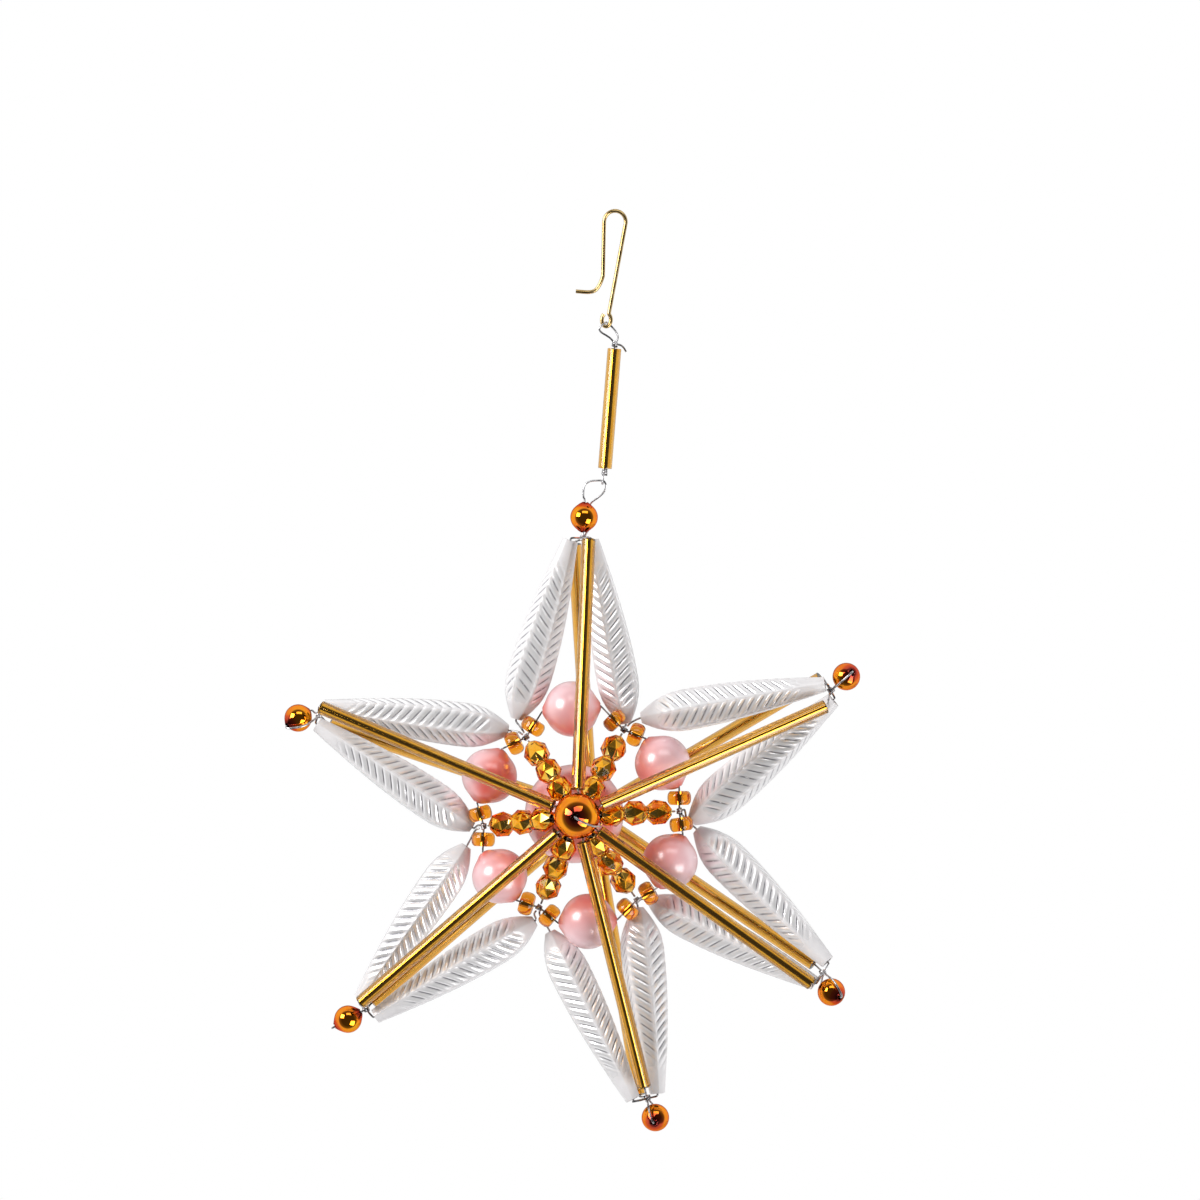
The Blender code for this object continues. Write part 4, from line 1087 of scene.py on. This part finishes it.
def dress_arm_wires(steel):
    """Each arm's wires, wound together at its tip."""
    for arm in ARMS:
        tip = arm_tip(arm)
        way = joint_place(f"tip_ball_{arm.hour}_spin") - tip
        shapes = [wire_along(rounded(route)) for route in arm_routes(arm)]
        shapes.append(winding(tip, way, turns=TIP_WINDING_TURNS, radius=TIP_WINDING_RADIUS))
        if arm.hour in TAILS:
            shapes.append(wire_along(rounded(np.array(TAILS[arm.hour]) + np.array(tip))))
        piece(f"arm_round_wire_{arm.hour}", shapes, [steel], "star",
              f"arm_wire_{arm.hour}")


def dress_hub_wire(steel):
    """Wire through the hub, with a winding in front of the large pearl and one behind."""
    shapes = [wire_along(rounded(hub_route()))]
    for depths, facing in ((FRONT_DEPTHS, -1), (BACK_DEPTHS, 1)):
        length = depths.outer - depths.inner
        middle = hub_point(facing * (depths.inner + depths.outer) / 2)
        shapes.append(winding(middle, BACK, length, length / HUB_WINDING_PITCH))
    piece("hub_round_wire", shapes, [steel], "star", "hub_wire")


def dress_hook(brass):
    """Thicker brass wire of the hook and its eye."""
    shape = wire_along(rounded(hook_route()), HOOK_WIRE_RADIUS, HOOK_WIRE_SIDES)
    piece("hook_wire", [shape], [brass], "hook", "hook")


def dress_tubes(glass, lining):
    """The hanger's tube and each arm's two."""
    ends = {"hanger_tube": hanger_tube_ends()}
    for arm in ARMS:
        ends[f"front_tube_{arm.hour}"] = tube_ends(arm, True)
        ends[f"back_tube_{arm.hour}"] = tube_ends(arm, False)
    for node, (outer, inner) in ends.items():
        piece("lined_" + node, [tube_shape(inner, outer)], [glass, lining], f"{node}_body",
              node, attribute_name="own_place")


def mirrored_ball(node, shape, amber, body):
    """Amber ball in place of its node."""
    piece(f"mirrored_{node}", [shape], [amber], body, node,
          attribute_name="collar_and_bounce")


def satin_pearl(node, shape, pink):
    """Pink pearl in place of its node."""
    piece(f"satin_{node}", [shape], [pink], f"{node}_body", node,
          attribute_name="collar_and_bounce")


def on_joint(kind, node):
    """Shape of a ball that spins on its wire, at its joint's place and on its axis."""
    name = f"{node}_spin"
    return ball_shape(kind, joint_place(name), JOINTS[name]["axis"])


def dress_balls(amber, pink):
    """Tip balls and ring pearls by the hour, the large pearl, and the hub's two balls."""
    for arm in ARMS:
        tip, pearl = f"tip_ball_{arm.hour}", f"ring_pearl_{arm.hour}"
        mirrored_ball(tip, on_joint(TIP_BALL, tip), amber, f"{tip}_body")
        kind = RING_PEARL._replace(flush=RED_PEARLS.get(arm.hour, RING_PEARL.flush))
        satin_pearl(pearl, on_joint(kind, pearl), pink)
    satin_pearl("centre_pearl", on_joint(CENTRE_PEARL, "centre_pearl"), pink)
    for node, centre in (("front_hub_ball", FRONT_BALL), ("back_hub_ball", BACK_BALL)):
        mirrored_ball(node, ball_shape(HUB_BALL, centre, BACK), amber, "star")


def dress_leaves(silver):
    """Twelve ribbed leaf beads."""
    for leaf in LEAVES:
        tip, root, _ = leaf_ends(leaf)
        node = f"leaf_bead_{leaf.arm}_{leaf.junction}"
        piece("ribbed_" + node, [leaf_shape(tip, root, leaf.spin, leaf.slant)], [silver], "star",
              node, crease=60.0, attribute_name="ridge")


def dress_ring(glass, lining, steel):
    """The ring's wire, with a winding and two seed beads at each junction."""
    ring = np.array(ring_route())
    shapes = [wire_along(np.vstack([ring, ring[:1]]), finish=2)]
    for number in range(len(JUNCTION_HOURS)):
        before, joint, after = ring[3 * number - 1], ring[3 * number], ring[3 * number + 1]
        shapes.append(winding(joint, unit(after - before), finish=2))
        for beyond in (before, after):
            way = unit(beyond - joint)
            middle = joint + way * (JUNCTION_HALF_GAP + SEED_LENGTH / 2)
            shapes.append(seed_shape(middle, way, SEED_TURN * number))
    piece("wired_seed_beads", shapes, [glass, lining, steel], "star",
          "ring_wire_with_seeds")


def dress_rows(glass, lining, steel):
    """Six rows of cut beads on their wires, each bead turned differently."""
    for hour in JUNCTION_HOURS:
        direction = row_line(hour)[1]
        shapes = [wire_along(rounded(row_route(hour)), finish=2)]
        for number, bead in enumerate(row_beads(hour)):
            shapes.append(cut_shape(bead, direction, math.radians(11 * hour + 17 * number)))
        piece(f"cut_bead_row_{hour}", shapes, [glass, lining, steel], "star",
              f"spoke_{hour}", crease=5.0)


# Studio

def studio_world():
    """Pale all round behind and beside the ornament, with the dark of the room on the
    camera's side. The camera itself sees plain white, and what shines through glass from
    behind is white too."""
    world = bpy.data.worlds.new("pale_studio")
    bpy.context.scene.world = world
    world.use_nodes = True
    nodes, links = world.node_tree.nodes, world.node_tree.links
    place = nodes.new("ShaderNodeTexCoord")
    facing = nodes.new("ShaderNodeVectorMath")
    facing.operation = "DOT_PRODUCT"
    facing.inputs[1].default_value = (0.12, -0.99, -0.06)
    links.new(place.outputs["Generated"], facing.inputs[0])
    half = nodes.new("ShaderNodeMath")
    half.operation = "MULTIPLY_ADD"
    half.inputs[1].default_value = 0.5
    half.inputs[2].default_value = 0.5
    links.new(facing.outputs["Value"], half.inputs[0])
    rooms = []
    for behind in (0.40, 1.0):
        stops = ((0.03, behind), (0.14, 1.0), (0.52, 1.0), (0.62, 0.20), (0.8, 0.06))
        greys = [(at, (grey, grey, grey)) for at, grey in stops]
        rooms.append(ramp(world, half.outputs["Value"], greys))
    path = nodes.new("ShaderNodeLightPath")
    white = nodes.new("ShaderNodeRGB")
    white.outputs["Color"].default_value = (1, 1, 1, 1)
    seen = blended(world, path.outputs["Is Transmission Ray"], *rooms)
    seen = blended(world, path.outputs["Is Camera Ray"], seen, white.outputs["Color"])
    links.new(seen, nodes["Background"].inputs["Color"])


def soft_box(name, place, size, power):
    """Rectangular lamp in metres and watts, aimed at the star."""
    data = bpy.data.lights.new(name, "AREA")
    data.shape = "RECTANGLE"
    data.size, data.size_y = size
    data.energy = power
    lamp = bpy.data.objects.new(name, data)
    lamp.location = place
    aim = Vector((0.0, 0.0, -0.12)) - Vector(place)
    lamp.rotation_euler = aim.to_track_quat("-Z", "Y").to_euler()
    bpy.context.scene.collection.objects.link(lamp)


def pale_floor():
    """Round pale floor well below the ornament."""
    radius, depth, sides = 0.42, 0.30, 64
    angle = np.linspace(0.0, 2.0 * np.pi, sides, endpoint=False)
    rim = circles(radius, angle, -depth) + np.array([0.0, radius, 0.0])
    mesh = bpy.data.meshes.new("pale_floor")
    mesh.from_pydata(rim.tolist(), [], [list(range(sides))])
    made = finish_of("pale_floor_paint", {"Roughness": 0.8})
    cloud = mottle(made, 8.0)
    feed(made, "Base Color",
         ramp(made, cloud, ((0.3, (0.86, 0.86, 0.87)), (0.7, (0.88, 0.88, 0.88)))))
    mesh.materials.append(made)
    floor = bpy.data.objects.new("pale_floor", mesh)
    bpy.context.scene.collection.objects.link(floor)


def long_lens():
    """Camera level with the middle of the picture, a little to the right and rolled, as
    the photograph was taken. Distance and width of the frame at the star are in metres."""
    distance, width, sensor = 1.6, 0.2464, 36.0
    turn, roll = math.radians(5.1), math.radians(3.15)
    target = Vector((0.0012, 0.0, -0.0796))
    back = Vector((math.sin(turn), -math.cos(turn), 0.0))
    right = Vector((math.cos(turn), math.sin(turn), 0.0))
    up = UP * math.cos(roll) - right * math.sin(roll)
    data = bpy.data.cameras.new("camera")
    data.sensor_width = sensor
    data.lens = sensor * distance / width
    camera = bpy.data.objects.new("camera", data)
    facing = Matrix((up.cross(back), up, back)).transposed().to_4x4()
    camera.matrix_world = Matrix.Translation(target + back * distance) @ facing
    bpy.context.scene.collection.objects.link(camera)
    bpy.context.scene.camera = camera


steel, lining = shade_darkened_wire(), silvered_bore()
seed_glass = amber_glass("amber_seed_glass", (0.972, 0.72, 0.0), 900.0, 1.5)
cut_glass = amber_glass("amber_cut_glass", (0.993, 0.785, 0.0), 2200.0, 1.25)

dress_hanger(steel)
dress_arm_wires(steel)
dress_hub_wire(steel)
dress_hook(shade_darkened_brass_wire())
dress_tubes(amber_tube_glass(), lining)
dress_balls(mirrored_amber(), pink_satin())
dress_leaves(silver_satin())
dress_ring(seed_glass, lining, steel)
dress_rows(cut_glass, lining, steel)

long_lens()
studio_world()
pale_floor()
soft_box("key_soft_box", (-0.80, -0.72, 0.24), (0.6, 0.55), 10.0)
soft_box("fill_soft_box", (0.76, -0.66, -0.70), (0.75, 0.75), 8.6)
soft_box("top_soft_box", (0.15, -0.70, 0.65), (0.8, 0.35), 2.0)
bpy.context.scene.view_settings.view_transform = "Standard"
